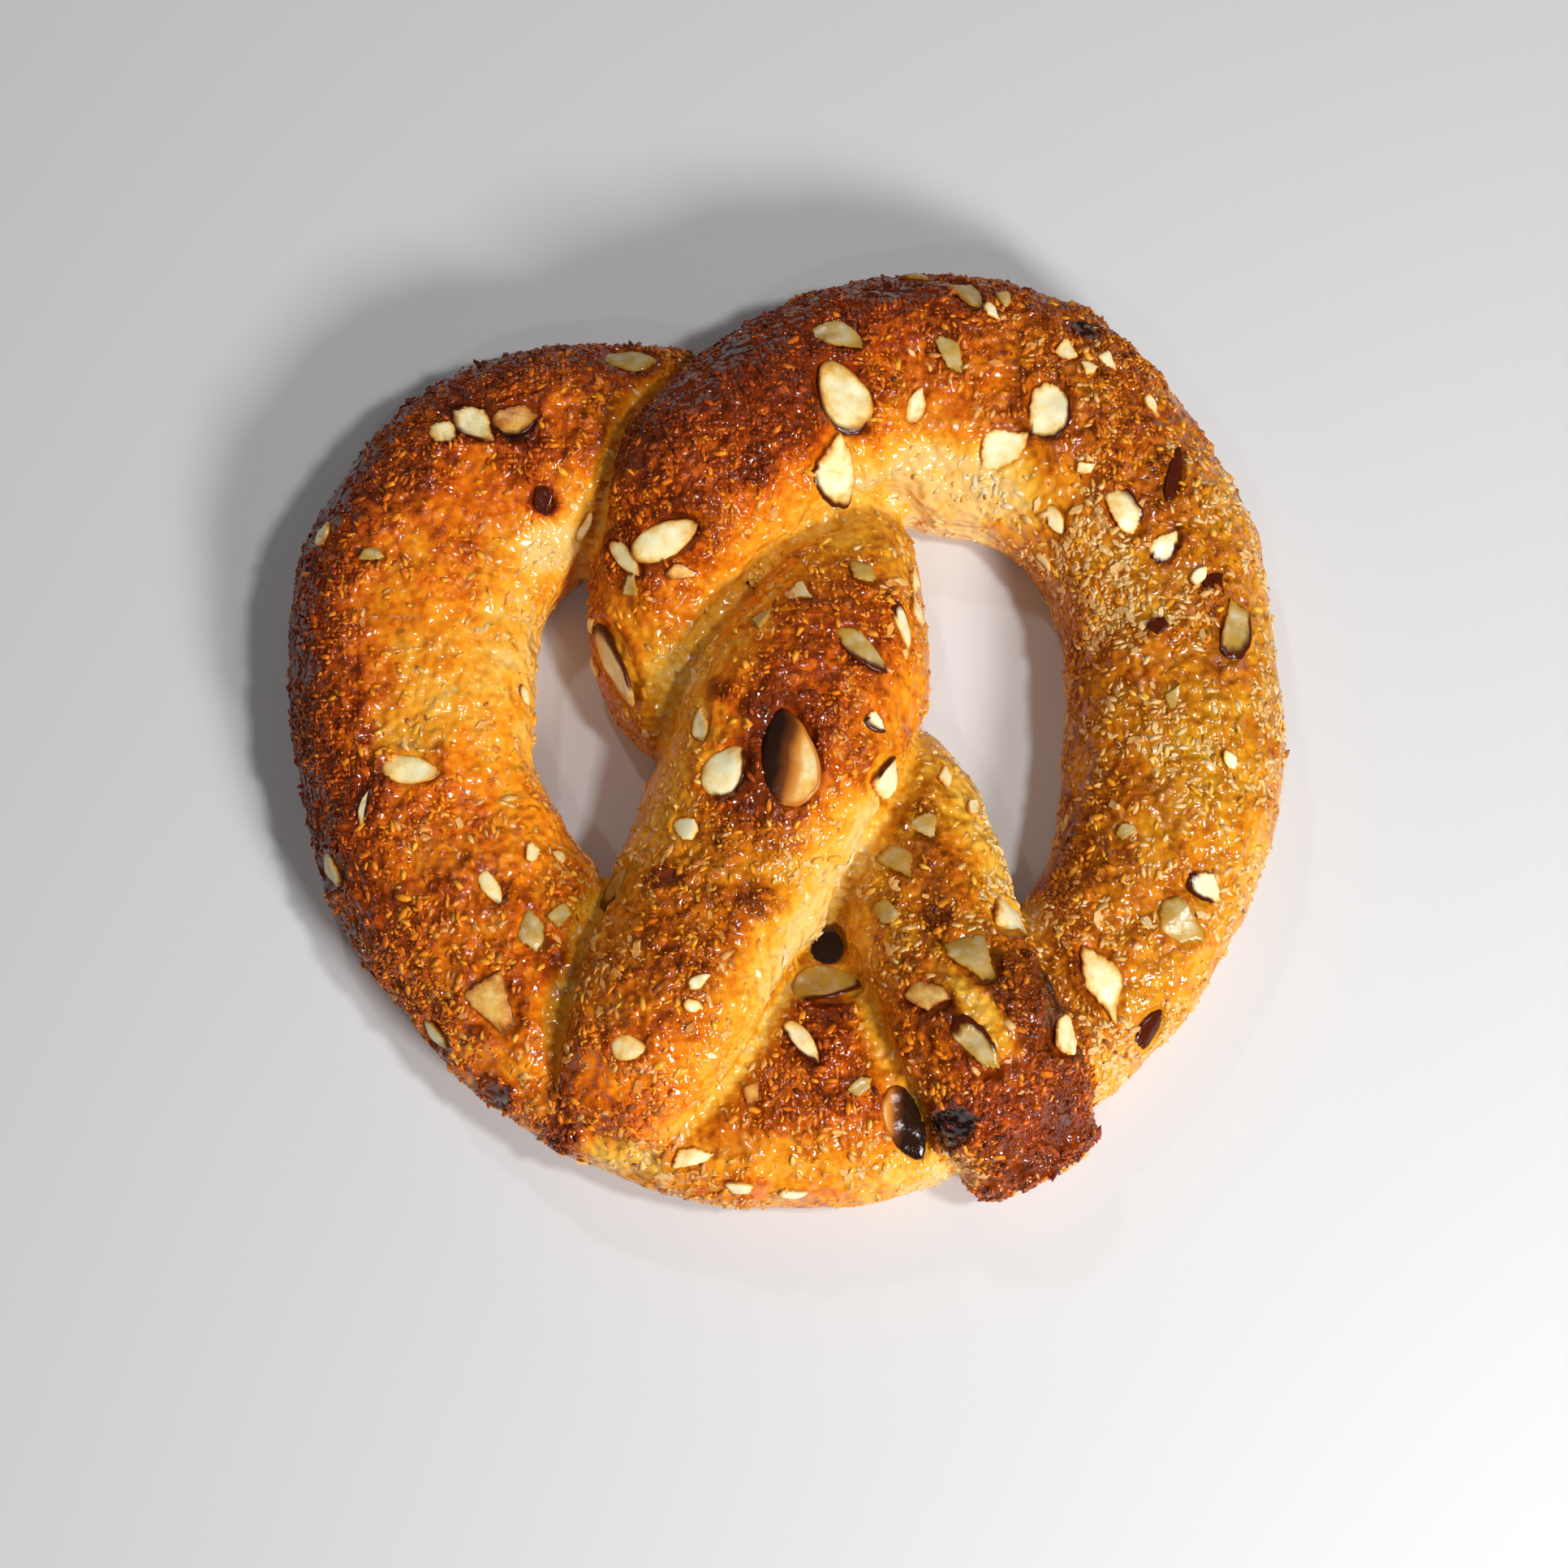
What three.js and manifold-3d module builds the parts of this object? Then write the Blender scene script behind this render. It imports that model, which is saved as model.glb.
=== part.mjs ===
// A soft pretzel, baked as one piece from a single rope of dough, with flaked almonds set in its
// glaze. Millimetres, +Z up. It lies flat on z = 0, with its two ends over the belly at -Y.

import * as THREE from "three";
import { mergeVertices } from "three/addons/utils/BufferGeometryUtils.js";
import Module from "manifold-3d";

const wasm = await Module();
wasm.setup();

// ---------------------------------------------------------------- driving dimensions

const SECTION_SIDES = 16; // corners of one cross-section of the rope
const SECTION_STEP = 7; // largest distance between cross-sections along the rope
const STRETCH_OVERLAP = 1; // sections that a stretch shares with the next, past their common one
const WIDEST_LEVEL = 0.36; // where a section is widest, as a share of its height
const DOME_POWER = 2.3; // roundness of a section above its widest level: 2 is an ellipse
const FOOT_POWER = 4; // squareness of a section below its widest level
const BASE_TRIM = 1.2; // sections reach this far below the tray, and the base is cut flat
const TRAY_SIZE = 400; // the block that cuts the base flat
const TRAY_DEPTH = 20;
const NOSE_LENGTH = 4; // the rounded end of the rope runs this far past its last station
const NOSE_RINGS = 3; // rings that round each end of the rope

const FLAKE_THICK = 1.2; // an almond flake's thickness
const FLAKE_SUNK = 0.75; // share of a flake's thickness that lies below the crust
const FLAKE_GAP = 0.3; // clearance between a flake and its pocket in the crust
const FLAKE_POINTS = 12; // corners of a flake's outline
const FLAKE_TAPER = 0.25; // how much a flake narrows towards one end
const PROBE_SHARE = 0.35; // how far from its middle a flake feels the crust's slope
const SLOPE_FLOOR = 3; // a slope isn't felt where the crust lies lower than this
const PROBE_HEIGHT = 100; // rays that feel the crust start from here
const CORNER_OFFSET = 0.5; // a section's corners sit half a step round, so that its sides stand upright
const WELD_DISTANCE = 1e-4; // corners nearer than this are one

const CRUST = { color: 0xb4621a, roughness: 0.35, metalness: 0 };
const ALMOND = { color: 0xe6c88f, roughness: 0.5, metalness: 0 };

// The rope's stations from its left end to its right end: [x, y, width, underside, top].
const ROPE = [
  // the left end, over the belly
  [-32.3, -72, 22, 2, 19], [-30.5, -67, 26, 4, 26], [-27.5, -58, 31, 8, 32], [-22.5, -47, 35, 7, 33],
  // up through the middle, over the other arm
  [-16.5, -35, 37, 2, 30], [-10.8, -25, 38, 0, 29], [-5.5, -13, 40, 2, 32], [-0.5, -1, 43, 4, 35],
  [3.5, 9, 41, 3, 34], [6.5, 19, 36, 0, 30], [8, 29, 30, 0, 26], [6.5, 38, 28, 0, 21],
  // under the other arm
  [0, 45, 30, 0, 19], [-10, 50, 32, 0, 19], [-20, 53.5, 31.5, 0, 21],
  // round the left loop
  [-29, 53.5, 35, 0, 23], [-39, 50.8, 40.5, 0, 25], [-49.2, 46.2, 43.5, 0, 25],
  [-57.3, 38.4, 43, 0, 25], [-63.7, 27.7, 43.5, 0, 25], [-66, 12, 42.5, 0, 25], [-65, -7.2, 40, 0, 24], [-60, -22, 41, 0, 24],
  [-53.4, -33.4, 40.5, 0, 24], [-44.5, -42.6, 42, 0, 24],
  // the belly
  [-33, -52.8, 41.5, 0, 23], [-20, -59, 41, 0, 23], [-6, -61, 43, 0, 24], [8, -60.5, 43, 0, 24],
  [22, -58, 40, 0, 23], [35.5, -54, 37, 0, 22],
  // round the right loop
  [47, -47, 35, 0, 22], [57.5, -36, 34, 0, 22], [64, -22, 36, 0, 24], [67.5, -6, 37.5, 0, 25],
  [68, 8, 37, 0, 25], [66.8, 21, 37.5, 0, 25], [63.5, 34.5, 39, 0, 26], [55.5, 47, 41, 0, 26],
  [44, 56, 45, 0, 27], [30, 60, 46, 0, 28], [16, 60.5, 43.5, 0, 29], [5, 56.5, 41, 1, 31],
  // over the first arm, and down round its side
  [-5, 50.5, 38, 5, 34], [-14.5, 41.5, 36, 8, 35], [-20.5, 29.5, 31, 4, 31], [-22.8, 18, 25, 0, 26],
  [-20.5, 8, 22, 0, 21], [-12, 0.5, 22, 0, 18],
  // under the first arm and out to the right end, over the belly
  [0, -4, 25, 0, 18], [11, -7.5, 27, 0, 19], [18.5, -14, 27, 0, 21], [22, -24, 29, 0, 23],
  [23, -35, 33, 2, 26], [26, -47, 33, 7, 31], [30.5, -57, 32, 9, 33], [34.5, -66, 31, 6, 29],
  [38.7, -73.5, 25, 2, 19],
];
// The rope is joined from stretches that don't meet themselves: the stations where it is divided.
const STRETCH_ENDS = [0, 13, 27, 42, 47, ROPE.length - 1];

// The almond flakes: [x, y, length, width, turn of the long axis from +X in degrees], where each lies
// on the crust, seen from above.
const FLAKES = [
  // upper left
  [-22.7, 29.3, 12, 5.6, 28], [-29.3, 26.8, 8, 3, -50], [-31, 10.5, 15, 5, -66],
  [-55, 51.5, 8.5, 5.5, -40], [-48, 52.5, 7.5, 5.2, 10], [-60.5, 49.8, 4.8, 4, -20],
  [-28, 65, 9, 5, -5], [-43.3, 38, 5, 3.6, -70], [-72.5, 28, 5, 2.6, -10],
  // upper right
  [8.4, 54.8, 13.5, 8.8, -68], [7.3, 41.8, 12, 8.5, -55], [7.8, 66.5, 9, 4, -25],
  [44.7, 54.5, 10.5, 6.8, 78], [36.5, 48, 9, 6.4, 40], [31.3, 76, 8, 4.5, -65],
  [21.2, 54.2, 7, 3.2, 68], [27.3, 63.4, 7, 4, -60], [48.4, 65, 4.6, 3.2, -50],
  [66.7, 43, 10.5, 2.8, 72], [57.5, 35.5, 8.5, 5.4, -52], [64.5, 30, 6.5, 4, 65],
  [76.5, 16, 11.5, 5, 78], [72.8, 24, 5.5, 2.2, 25], [46, 35.5, 5.5, 2.8, -70],
  // middle
  [11.5, 24, 5.6, 4.6, -30], [0.4, 20, 4.6, 3.4, -40], [18, 15, 9, 3.4, -74],
  [10.5, 9.5, 9.5, 5.2, -42], [-16.8, -2.6, 6.5, 3, 75], [-12.8, -10.6, 9.4, 7, 50],
  [-2, -9.2, 16.5, 9, -78], [14.5, -11.5, 8.4, 6, 68], [-19.5, -20.2, 4.6, 4, -45],
  // lower left
  [-65.5, -9.4, 9.5, 4.8, -5], [-79, -25, 6.5, 4, -50], [-45.4, -36.6, 7.5, 4.4, -85],
  [-52, -29.4, 6.2, 3, -62], [-31, -28.3, 8, 5, 35], [-51.7, -48.7, 11.4, 7.2, -56],
  [-61.5, -53, 6.6, 3.2, -45], [-29.5, -57, 5.6, 4.2, 0], [-19, -74, 7.6, 3.8, 12],
  // lower right
  [21.5, -19, 5, 4.2, -50], [16.8, -25, 8, 5, -48], [35.6, -35.2, 7.6, 6.4, -10],
  [28.4, -42.8, 9.4, 7, -62], [20, -49.3, 7.4, 5, -18], [27.7, -57.6, 10, 4.4, -58],
  [4.2, -45.5, 10.6, 7.4, 0], [-0.3, -55.8, 8, 3.4, -55], [17, -69.3, 12.4, 6, -66],
  [51, -45.7, 13.5, 6, -70], [43.5, -55, 9, 6.2, 25], [59.5, -53.5, 8, 4, 62],
  [65.3, -36, 8.4, 6, -45],
];

// ---------------------------------------------------------------- shapes to solids and back

/** The closed solid of a geometry, for joining and cutting. */
function solidOf(geometry) {
  const bare = geometry.clone();
  bare.deleteAttribute("normal");
  bare.deleteAttribute("uv");
  const merged = mergeVertices(bare, WELD_DISTANCE);
  return new wasm.Manifold(new wasm.Mesh({
    numProp: 3,
    vertProperties: new Float32Array(merged.attributes.position.array),
    triVerts: new Uint32Array(merged.index.array),
  }));
}

/** The geometry of a closed solid. */
function geometryOf(solid) {
  const mesh = solid.getMesh();
  const geometry = new THREE.BufferGeometry();
  geometry.setAttribute("position", new THREE.BufferAttribute(mesh.vertProperties, 3));
  geometry.setIndex(new THREE.BufferAttribute(mesh.triVerts, 1));
  geometry.computeVertexNormals();
  return geometry;
}

// ---------------------------------------------------------------- the rope of dough

/** A number raised to a power with its sign kept. */
const signedPower = (value, power) => Math.sign(value) * Math.abs(value) ** power;

/** One cross-section: [across, up] corners of a dome on a squarer foot. */
function sectionCorners(wide, low, high) {
  const foot = low > 0 ? low : low - BASE_TRIM;
  const widest = low + WIDEST_LEVEL * (high - low);
  return Array.from({ length: SECTION_SIDES }, (_, i) => {
    const turn = (2 * Math.PI * (i + CORNER_OFFSET)) / SECTION_SIDES;
    const isDome = Math.sin(turn) > 0;
    const power = 2 / (isDome ? DOME_POWER : FOOT_POWER);
    const reach = isDome ? high - widest : widest - foot;
    const across = (wide / 2) * signedPower(Math.cos(turn), power);
    return [across, widest + reach * signedPower(Math.sin(turn), power)];
  });
}

/** The sections along the whole rope, and for each station the number of its section. */
function sectionsOfRope() {
  const plan = new THREE.CatmullRomCurve3(
    ROPE.map(([x, y]) => new THREE.Vector3(x, y, 0)), false, "catmullrom");
  const size = new THREE.CatmullRomCurve3(
    ROPE.map(([, , wide, low, high]) => new THREE.Vector3(wide, low, high)), false, "catmullrom");
  const spans = ROPE.length - 1;
  const sections = [];
  const atStation = [];
  for (let span = 0; span < spans; span++) {
    const length = plan.points[span].distanceTo(plan.points[span + 1]);
    const steps = Math.ceil(length / SECTION_STEP);
    atStation.push(sections.length);
    for (let step = 0; step < steps; step++) sections.push(sectionAt((span + step / steps) / spans));
  }
  atStation.push(sections.length);
  sections.push(sectionAt(1));
  return { sections, atStation };

  function sectionAt(share) {
    const [wide, low, high] = size.getPoint(share).toArray();
    return { centre: plan.getPoint(share), heading: plan.getTangent(share), wide, low, high };
  }
}

/** The shrinking sections that round off an end of the rope. */
function noseSections(last, way) {
  return Array.from({ length: NOSE_RINGS }, (_, i) => {
    const turn = ((i + 1) / (NOSE_RINGS + CORNER_OFFSET)) * (Math.PI / 2);
    const share = Math.cos(turn);
    const middle = last.low + WIDEST_LEVEL * (last.high - last.low);
    return {
      centre: last.centre.clone().addScaledVector(last.heading, way * NOSE_LENGTH * Math.sin(turn)),
      heading: last.heading,
      wide: last.wide * share,
      low: middle + (last.low - middle) * share,
      high: middle + (last.high - middle) * share,
    };
  });
}

/** A run of sections as one closed geometry. */
function stretchGeometry(sections) {
  const points = [];
  for (const { centre, heading, wide, low, high } of sections) {
    const left = new THREE.Vector3(-heading.y, heading.x, 0).normalize();
    for (const [across, up] of sectionCorners(wide, low, high)) {
      points.push(centre.clone().addScaledVector(left, -across).setZ(up));
    }
  }
  const middleOf = (ring) => points
    .slice(ring * SECTION_SIDES, (ring + 1) * SECTION_SIDES)
    .reduce((sum, point) => sum.add(point), new THREE.Vector3())
    .divideScalar(SECTION_SIDES);
  const lastRing = sections.length - 1;
  const startCap = points.push(middleOf(0)) - 1;
  const endCap = points.push(middleOf(lastRing)) - 1;
  const triangles = [];
  for (let side = 0; side < SECTION_SIDES; side++) {
    const next = (side + 1) % SECTION_SIDES;
    for (let ring = 0; ring < lastRing; ring++) {
      const here = ring * SECTION_SIDES;
      const ahead = here + SECTION_SIDES;
      triangles.push(here + side, ahead + side, here + next);
      triangles.push(here + next, ahead + side, ahead + next);
    }
    triangles.push(startCap, side, next);
    triangles.push(endCap, lastRing * SECTION_SIDES + next, lastRing * SECTION_SIDES + side);
  }
  const geometry = new THREE.BufferGeometry().setFromPoints(points);
  geometry.setIndex(triangles);
  return geometry;
}

/** The whole rope as one solid, cut flat where it lay on the tray. */
function makeDough() {
  const { sections, atStation } = sectionsOfRope();
  const stretches = STRETCH_ENDS.slice(1).map((end, i) =>
    sections.slice(atStation[STRETCH_ENDS[i]], atStation[end] + 1 + STRETCH_OVERLAP));
  stretches[0].unshift(...noseSections(sections[0], -1).reverse());
  stretches.at(-1).push(...noseSections(sections.at(-1), 1));
  const tray = new THREE.BoxGeometry(TRAY_SIZE, TRAY_SIZE, TRAY_DEPTH).translate(0, 0, -TRAY_DEPTH / 2);
  return stretches
    .map((stretch) => solidOf(stretchGeometry(stretch)))
    .reduce((whole, stretch) => whole.add(stretch))
    .subtract(solidOf(tray));
}

// ---------------------------------------------------------------- the almond flakes

const DOWN = new THREE.Vector3(0, 0, -1);

/** A flake lying flat on z = 0, its outline an oval that narrows to one end, grown all round. */
function flakeGeometry(length, width, grown = 0) {
  const outline = Array.from({ length: FLAKE_POINTS }, (_, i) => {
    const turn = (2 * Math.PI * i) / FLAKE_POINTS;
    const narrowing = 1 - FLAKE_TAPER * Math.cos(turn);
    return new THREE.Vector2(
      (length / 2 + grown) * Math.cos(turn), (width / 2 + grown) * Math.sin(turn) * narrowing);
  });
  return new THREE.ExtrudeGeometry(new THREE.Shape(outline), {
    depth: FLAKE_THICK + 2 * grown, bevelEnabled: false, curveSegments: 1,
  }).translate(0, 0, -grown);
}

/** Where the crust is met straight below a point in plan, or nothing past its edge. */
function crustBelow(crust, x, y) {
  const ray = new THREE.Raycaster(new THREE.Vector3(x, y, PROBE_HEIGHT), DOWN);
  return ray.intersectObject(crust)[0];
}

/** The matrix that lays a flake on the crust, along its turn and tipped to the slope there. */
function flakeSeat(crust, [x, y, length, width, degrees]) {
  const turn = THREE.MathUtils.degToRad(degrees);
  const along = new THREE.Vector3(Math.cos(turn), Math.sin(turn), 0);
  const across = new THREE.Vector3(-along.y, along.x, 0);
  const centre = crustBelow(crust, x, y);
  const probe = (direction, reach) =>
    crustBelow(crust, x + direction.x * reach, y + direction.y * reach)?.point;
  const ends = [probe(along, length * PROBE_SHARE), probe(along, -length * PROBE_SHARE)];
  const sides = [probe(across, width * PROBE_SHARE), probe(across, -width * PROBE_SHARE)];
  const normal = [...ends, ...sides].every((point) => point && point.z > SLOPE_FLOOR)
    ? ends[0].clone().sub(ends[1]).cross(sides[0].clone().sub(sides[1])).normalize()
    : centre.face.normal.clone();
  const ahead = along.addScaledVector(normal, -along.dot(normal)).normalize();
  const left = normal.clone().cross(ahead);
  const seat = centre.point.clone().addScaledVector(normal, -FLAKE_SUNK * FLAKE_THICK);
  return new THREE.Matrix4().makeBasis(ahead, left, normal).setPosition(seat);
}

/** Every flake as a mesh in its place, with the solid that cuts its pocket. */
function makeFlakes(crust) {
  return FLAKES.map((flake, i) => {
    const seat = flakeSeat(crust, flake);
    const [, , length, width] = flake;
    const mesh = new THREE.Mesh(flakeGeometry(length, width), new THREE.MeshStandardMaterial(ALMOND));
    mesh.name = `almond_flake_${String(i + 1).padStart(2, "0")}`;
    mesh.applyMatrix4(seat);
    return { mesh, pocket: solidOf(flakeGeometry(length, width, FLAKE_GAP).applyMatrix4(seat)) };
  });
}

// ---------------------------------------------------------------- assembly

const wholeDough = makeDough();
const flakes = makeFlakes(new THREE.Mesh(geometryOf(wholeDough), new THREE.MeshStandardMaterial()));
const dough = flakes.reduce((rest, { pocket }) => rest.subtract(pocket), wholeDough);
const doughMesh = new THREE.Mesh(geometryOf(dough), new THREE.MeshStandardMaterial(CRUST));
doughMesh.name = "pretzel_dough";

const pretzel = new THREE.Group();
pretzel.add(doughMesh, ...flakes.map(({ mesh }) => mesh));

export default pretzel;
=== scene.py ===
"""A glazed soft pretzel with flaked almonds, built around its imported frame.

The dough is one rope: a dome-shaped section carried along a smooth curve, joined into one skin, and then
given the lumps, granules and folds of a baked crust. Almond flakes, chips, slivers and grit lie in the
glaze. Lengths in the tables are millimetres, in the frame's own axes: +X from the left loop to the right
loop, +Y from the belly to the top lobes, +Z up from the tray.
"""

import logging
import math
from dataclasses import dataclass, field
from enum import Enum, IntEnum
from typing import Any, Callable, NamedTuple, Sequence

import bpy
import numpy as np
from mathutils import Matrix, Vector
from mathutils.bvhtree import BVHTree

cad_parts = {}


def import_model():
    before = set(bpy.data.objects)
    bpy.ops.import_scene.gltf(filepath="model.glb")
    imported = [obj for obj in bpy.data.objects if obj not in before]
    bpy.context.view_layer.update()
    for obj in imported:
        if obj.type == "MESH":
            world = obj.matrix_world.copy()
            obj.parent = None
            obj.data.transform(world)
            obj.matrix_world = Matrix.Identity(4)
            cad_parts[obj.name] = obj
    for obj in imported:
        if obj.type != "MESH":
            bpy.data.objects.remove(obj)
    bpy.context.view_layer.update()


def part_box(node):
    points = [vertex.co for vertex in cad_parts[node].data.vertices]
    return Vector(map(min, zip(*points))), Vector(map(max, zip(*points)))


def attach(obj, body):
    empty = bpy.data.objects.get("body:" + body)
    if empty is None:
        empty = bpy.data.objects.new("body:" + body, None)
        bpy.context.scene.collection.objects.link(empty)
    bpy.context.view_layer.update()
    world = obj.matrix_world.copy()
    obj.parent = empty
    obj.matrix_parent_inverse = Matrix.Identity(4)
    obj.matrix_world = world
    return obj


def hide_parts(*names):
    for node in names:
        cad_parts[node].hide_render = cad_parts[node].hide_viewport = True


LOG = logging.getLogger("pretzel")
MM = 0.001
BODY = "root"
DOUGH_NODE = "pretzel_dough"
Array = np.ndarray
# The two ends of an eased step: 0 at the first, 1 at the second.
Step = tuple[float, float]


class Seed(IntEnum):
    """Which random field or draw each detail reads, so that every run gives the same pretzel."""

    FLAKE_RIPPLE = 7
    BROAD = 11
    FLAKE_MOTTLE = 17
    PATCHY = 21
    LUMPS = 41
    BLISTERS = 51
    GRAINS = 61
    FINE = 71
    CLUMPS = 91
    CRUMBS = 101
    GRIT = 102
    SLIVERS = 103
    SHARDS = 104
    FLAKES = 500
    BITS = 700


# ------------------------------------------------------------------------------------ noise


def hash_unit(cells: Array, seed: int) -> Array:
    """A repeatable random number from 0 to 1 for each whole-number cell.

    The three indices and the seed are mixed by multiplying with large odd numbers and folding the high
    bits into the low ones.

    Args:
        cells: Whole-number cell indices, shape (..., 3).
        seed: Which random field to read.

    Returns:
        Numbers from 0 to 1, shape (...).
    """
    index = cells.astype(np.int64).astype(np.uint64)
    mixed = (
        index[..., 0] * np.uint64(73856093)
        ^ index[..., 1] * np.uint64(19349663)
        ^ index[..., 2] * np.uint64(83492791)
        ^ np.uint64(seed * 2654435761 % 2**32)
    )
    mixed = (mixed ^ (mixed >> np.uint64(13))) * np.uint64(1274126177)
    mixed = (mixed ^ (mixed >> np.uint64(16))) * np.uint64(2246822519)
    mixed ^= mixed >> np.uint64(15)
    return (mixed & np.uint64(0xFFFFFF)).astype(np.float64) / 0xFFFFFF


def value_noise(points: Array, size: float, seed: int) -> Array:
    """Smooth random field: lattice values blended over each cell by the cubic 3t^2 - 2t^3.

    Args:
        points: Places in millimetres, shape (n, 3).
        size: Width of a lattice cell in millimetres.
        seed: Which random field to read.

    Returns:
        Values from -1 to 1, shape (n,).
    """
    scaled = points / size
    cell = np.floor(scaled)
    part = scaled - cell
    ease = part * part * (3 - 2 * part)
    total = np.zeros(len(points))
    for corner in np.ndindex(2, 2, 2):
        step = np.array(corner)
        weight = np.prod(np.where(step, ease, 1 - ease), axis=1)
        total += weight * hash_unit(cell + step, seed)
    return total * 2 - 1


def fractal_noise(points: Array, size: float, octaves: int, seed: int) -> Array:
    """Sum of value noise, each octave half the size and half the strength of the last.

    Args:
        points: Places in millimetres, shape (n, 3).
        size: Cell width of the first octave in millimetres.
        octaves: How many octaves to add.
        seed: Seed of the first octave.

    Returns:
        Values of about -1 to 1, shape (n,).
    """
    total = np.zeros(len(points))
    for octave in range(octaves):
        total += value_noise(points + 31.7 * octave, size / 2**octave, seed + octave) / 2**octave
    return total / (2 - 2 ** (1 - octaves))


def grain_noise(points: Array, size: float, seed: int) -> tuple[Array, Array]:
    """Cells around scattered points: how near the closest point is, and that point's own number.

    Args:
        points: Places in millimetres, shape (n, 3).
        size: Width of a cell in millimetres.
        seed: Which random field to read.

    Returns:
        A dome that is 1 on each cell's point and 0 a cell away, and a random number for each cell.
    """
    scaled = points / size
    cell = np.floor(scaled)
    nearest = np.full(len(points), 9.0)
    owner = np.zeros(len(points))
    for offset in np.ndindex(3, 3, 3):
        there = cell + np.array(offset) - 1
        jitter = np.stack([hash_unit(there, seed + k) for k in range(3)], axis=1)
        distance = np.linalg.norm(there + jitter - scaled, axis=1)
        closer = distance < nearest
        nearest = np.where(closer, distance, nearest)
        owner = np.where(closer, hash_unit(there, seed + 3), owner)
    return np.clip(1 - nearest**2, 0, 1), owner


def along_and_across(gap: Array, degrees: float) -> tuple[Array, Array]:
    """The parts of plan vectors along a direction turned by degrees from +X, and square to it."""
    turn = math.radians(degrees)
    along = gap[:, 0] * math.cos(turn) + gap[:, 1] * math.sin(turn)
    return along, gap[:, 1] * math.cos(turn) - gap[:, 0] * math.sin(turn)


def ease_between(low: float, high: float, value: Array) -> Array:
    """0 below low, 1 above high, and the cubic 3t^2 - 2t^3 between. low may be the larger."""
    share = np.clip((value - low) / (high - low), 0, 1)
    return share * share * (3 - 2 * share)


# ------------------------------------------------------------------------------------ meshes


def new_mesh_object(
    name: str,
    vertices: Array,
    faces: Array,
    attributes: dict[str, Array] | None = None,
    smooth: bool = True,
) -> bpy.types.Object:
    """Puts worked-out points and faces into a new mesh object at the origin.

    Args:
        name: The piece's name.
        vertices: Points in millimetres, shape (n, 3).
        faces: Corner indices, shape (m, 3) or (m, 4).
        attributes: Numbers per vertex, by name.
        smooth: Whether the faces are shaded smooth.

    Returns:
        The linked object.
    """
    mesh = bpy.data.meshes.new(name)
    corners = faces.shape[1]
    mesh.vertices.add(len(vertices))
    mesh.vertices.foreach_set("co", (vertices * MM).astype(np.float32).ravel())
    mesh.loops.add(faces.size)
    mesh.loops.foreach_set("vertex_index", faces.astype(np.int32).ravel())
    mesh.polygons.add(len(faces))
    mesh.polygons.foreach_set("loop_start", np.arange(0, faces.size, corners, dtype=np.int32))
    mesh.polygons.foreach_set("loop_total", np.full(len(faces), corners, dtype=np.int32))
    mesh.update(calc_edges=True)
    mesh.polygons.foreach_set("use_smooth", np.full(len(faces), smooth))
    add_attributes(mesh, attributes or {})
    mesh.validate()
    piece = bpy.data.objects.new(name, mesh)
    bpy.context.scene.collection.objects.link(piece)
    return piece


def add_attributes(mesh: bpy.types.Mesh, attributes: dict[str, Array]) -> None:
    """Keeps a number for each vertex under each name."""
    for key, values in attributes.items():
        layer = mesh.attributes.new(key, "FLOAT", "POINT")
        layer.data.foreach_set("value", values.astype(np.float32))


def move_vertices(mesh: bpy.types.Mesh, points: Array) -> None:
    """Puts the mesh's vertices at these points, in millimetres."""
    mesh.vertices.foreach_set("co", (points * MM).astype(np.float32).ravel())
    mesh.update()


def vertices_of(mesh: bpy.types.Mesh) -> Array:
    """The mesh's points in millimetres, shape (n, 3)."""
    flat = np.empty(len(mesh.vertices) * 3, np.float32)
    mesh.vertices.foreach_get("co", flat)
    return flat.reshape(-1, 3).astype(np.float64) / MM


def normals_of(mesh: bpy.types.Mesh) -> Array:
    """The mesh's vertex normals, shape (n, 3)."""
    flat = np.empty(len(mesh.vertices) * 3, np.float32)
    mesh.vertices.foreach_get("normal", flat)
    return flat.reshape(-1, 3).astype(np.float64)


def ring_faces(rings: int, sides: int) -> Array:
    """Quads that join ring after ring of points, each ring closed on itself.

    Args:
        rings: How many rings there are.
        sides: Points in each ring.

    Returns:
        Corner indices, shape ((rings - 1) * sides, 4).
    """
    ring, side = np.meshgrid(np.arange(rings - 1), np.arange(sides), indexing="ij")
    here = ring * sides + side
    beside = ring * sides + (side + 1) % sides
    return np.stack([here, here + sides, beside + sides, beside], axis=-1).reshape(-1, 4)


def fan_caps(rings: int, sides: int) -> Array:
    """Triangles that close the first and the last ring, each round a point added after all the rings.

    Args:
        rings: How many rings there are.
        sides: Points in each ring.

    Returns:
        Corner indices, shape (2 * sides, 3).
    """
    side = np.arange(sides)
    beside = (side + 1) % sides
    last = (rings - 1) * sides
    first_point, last_point = np.full(sides, rings * sides), np.full(sides, rings * sides + 1)
    return np.vstack([
        np.stack([first_point, side, beside], axis=1),
        np.stack([last_point, last + beside, last + side], axis=1),
    ])


def as_triangles(quads: Array) -> Array:
    """Each quad cut along one diagonal into two triangles."""
    return quads[:, [0, 1, 2, 0, 2, 3]].reshape(-1, 3)


# ------------------------------------------------------------------------------------ the rope


class Station(NamedTuple):
    """One place along the rope: its section, and how far it baked on its left, crown and right."""

    x: float
    y: float
    wide: float
    low: float
    high: float
    left: float
    crown: float
    right: float
    warmth: float


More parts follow.
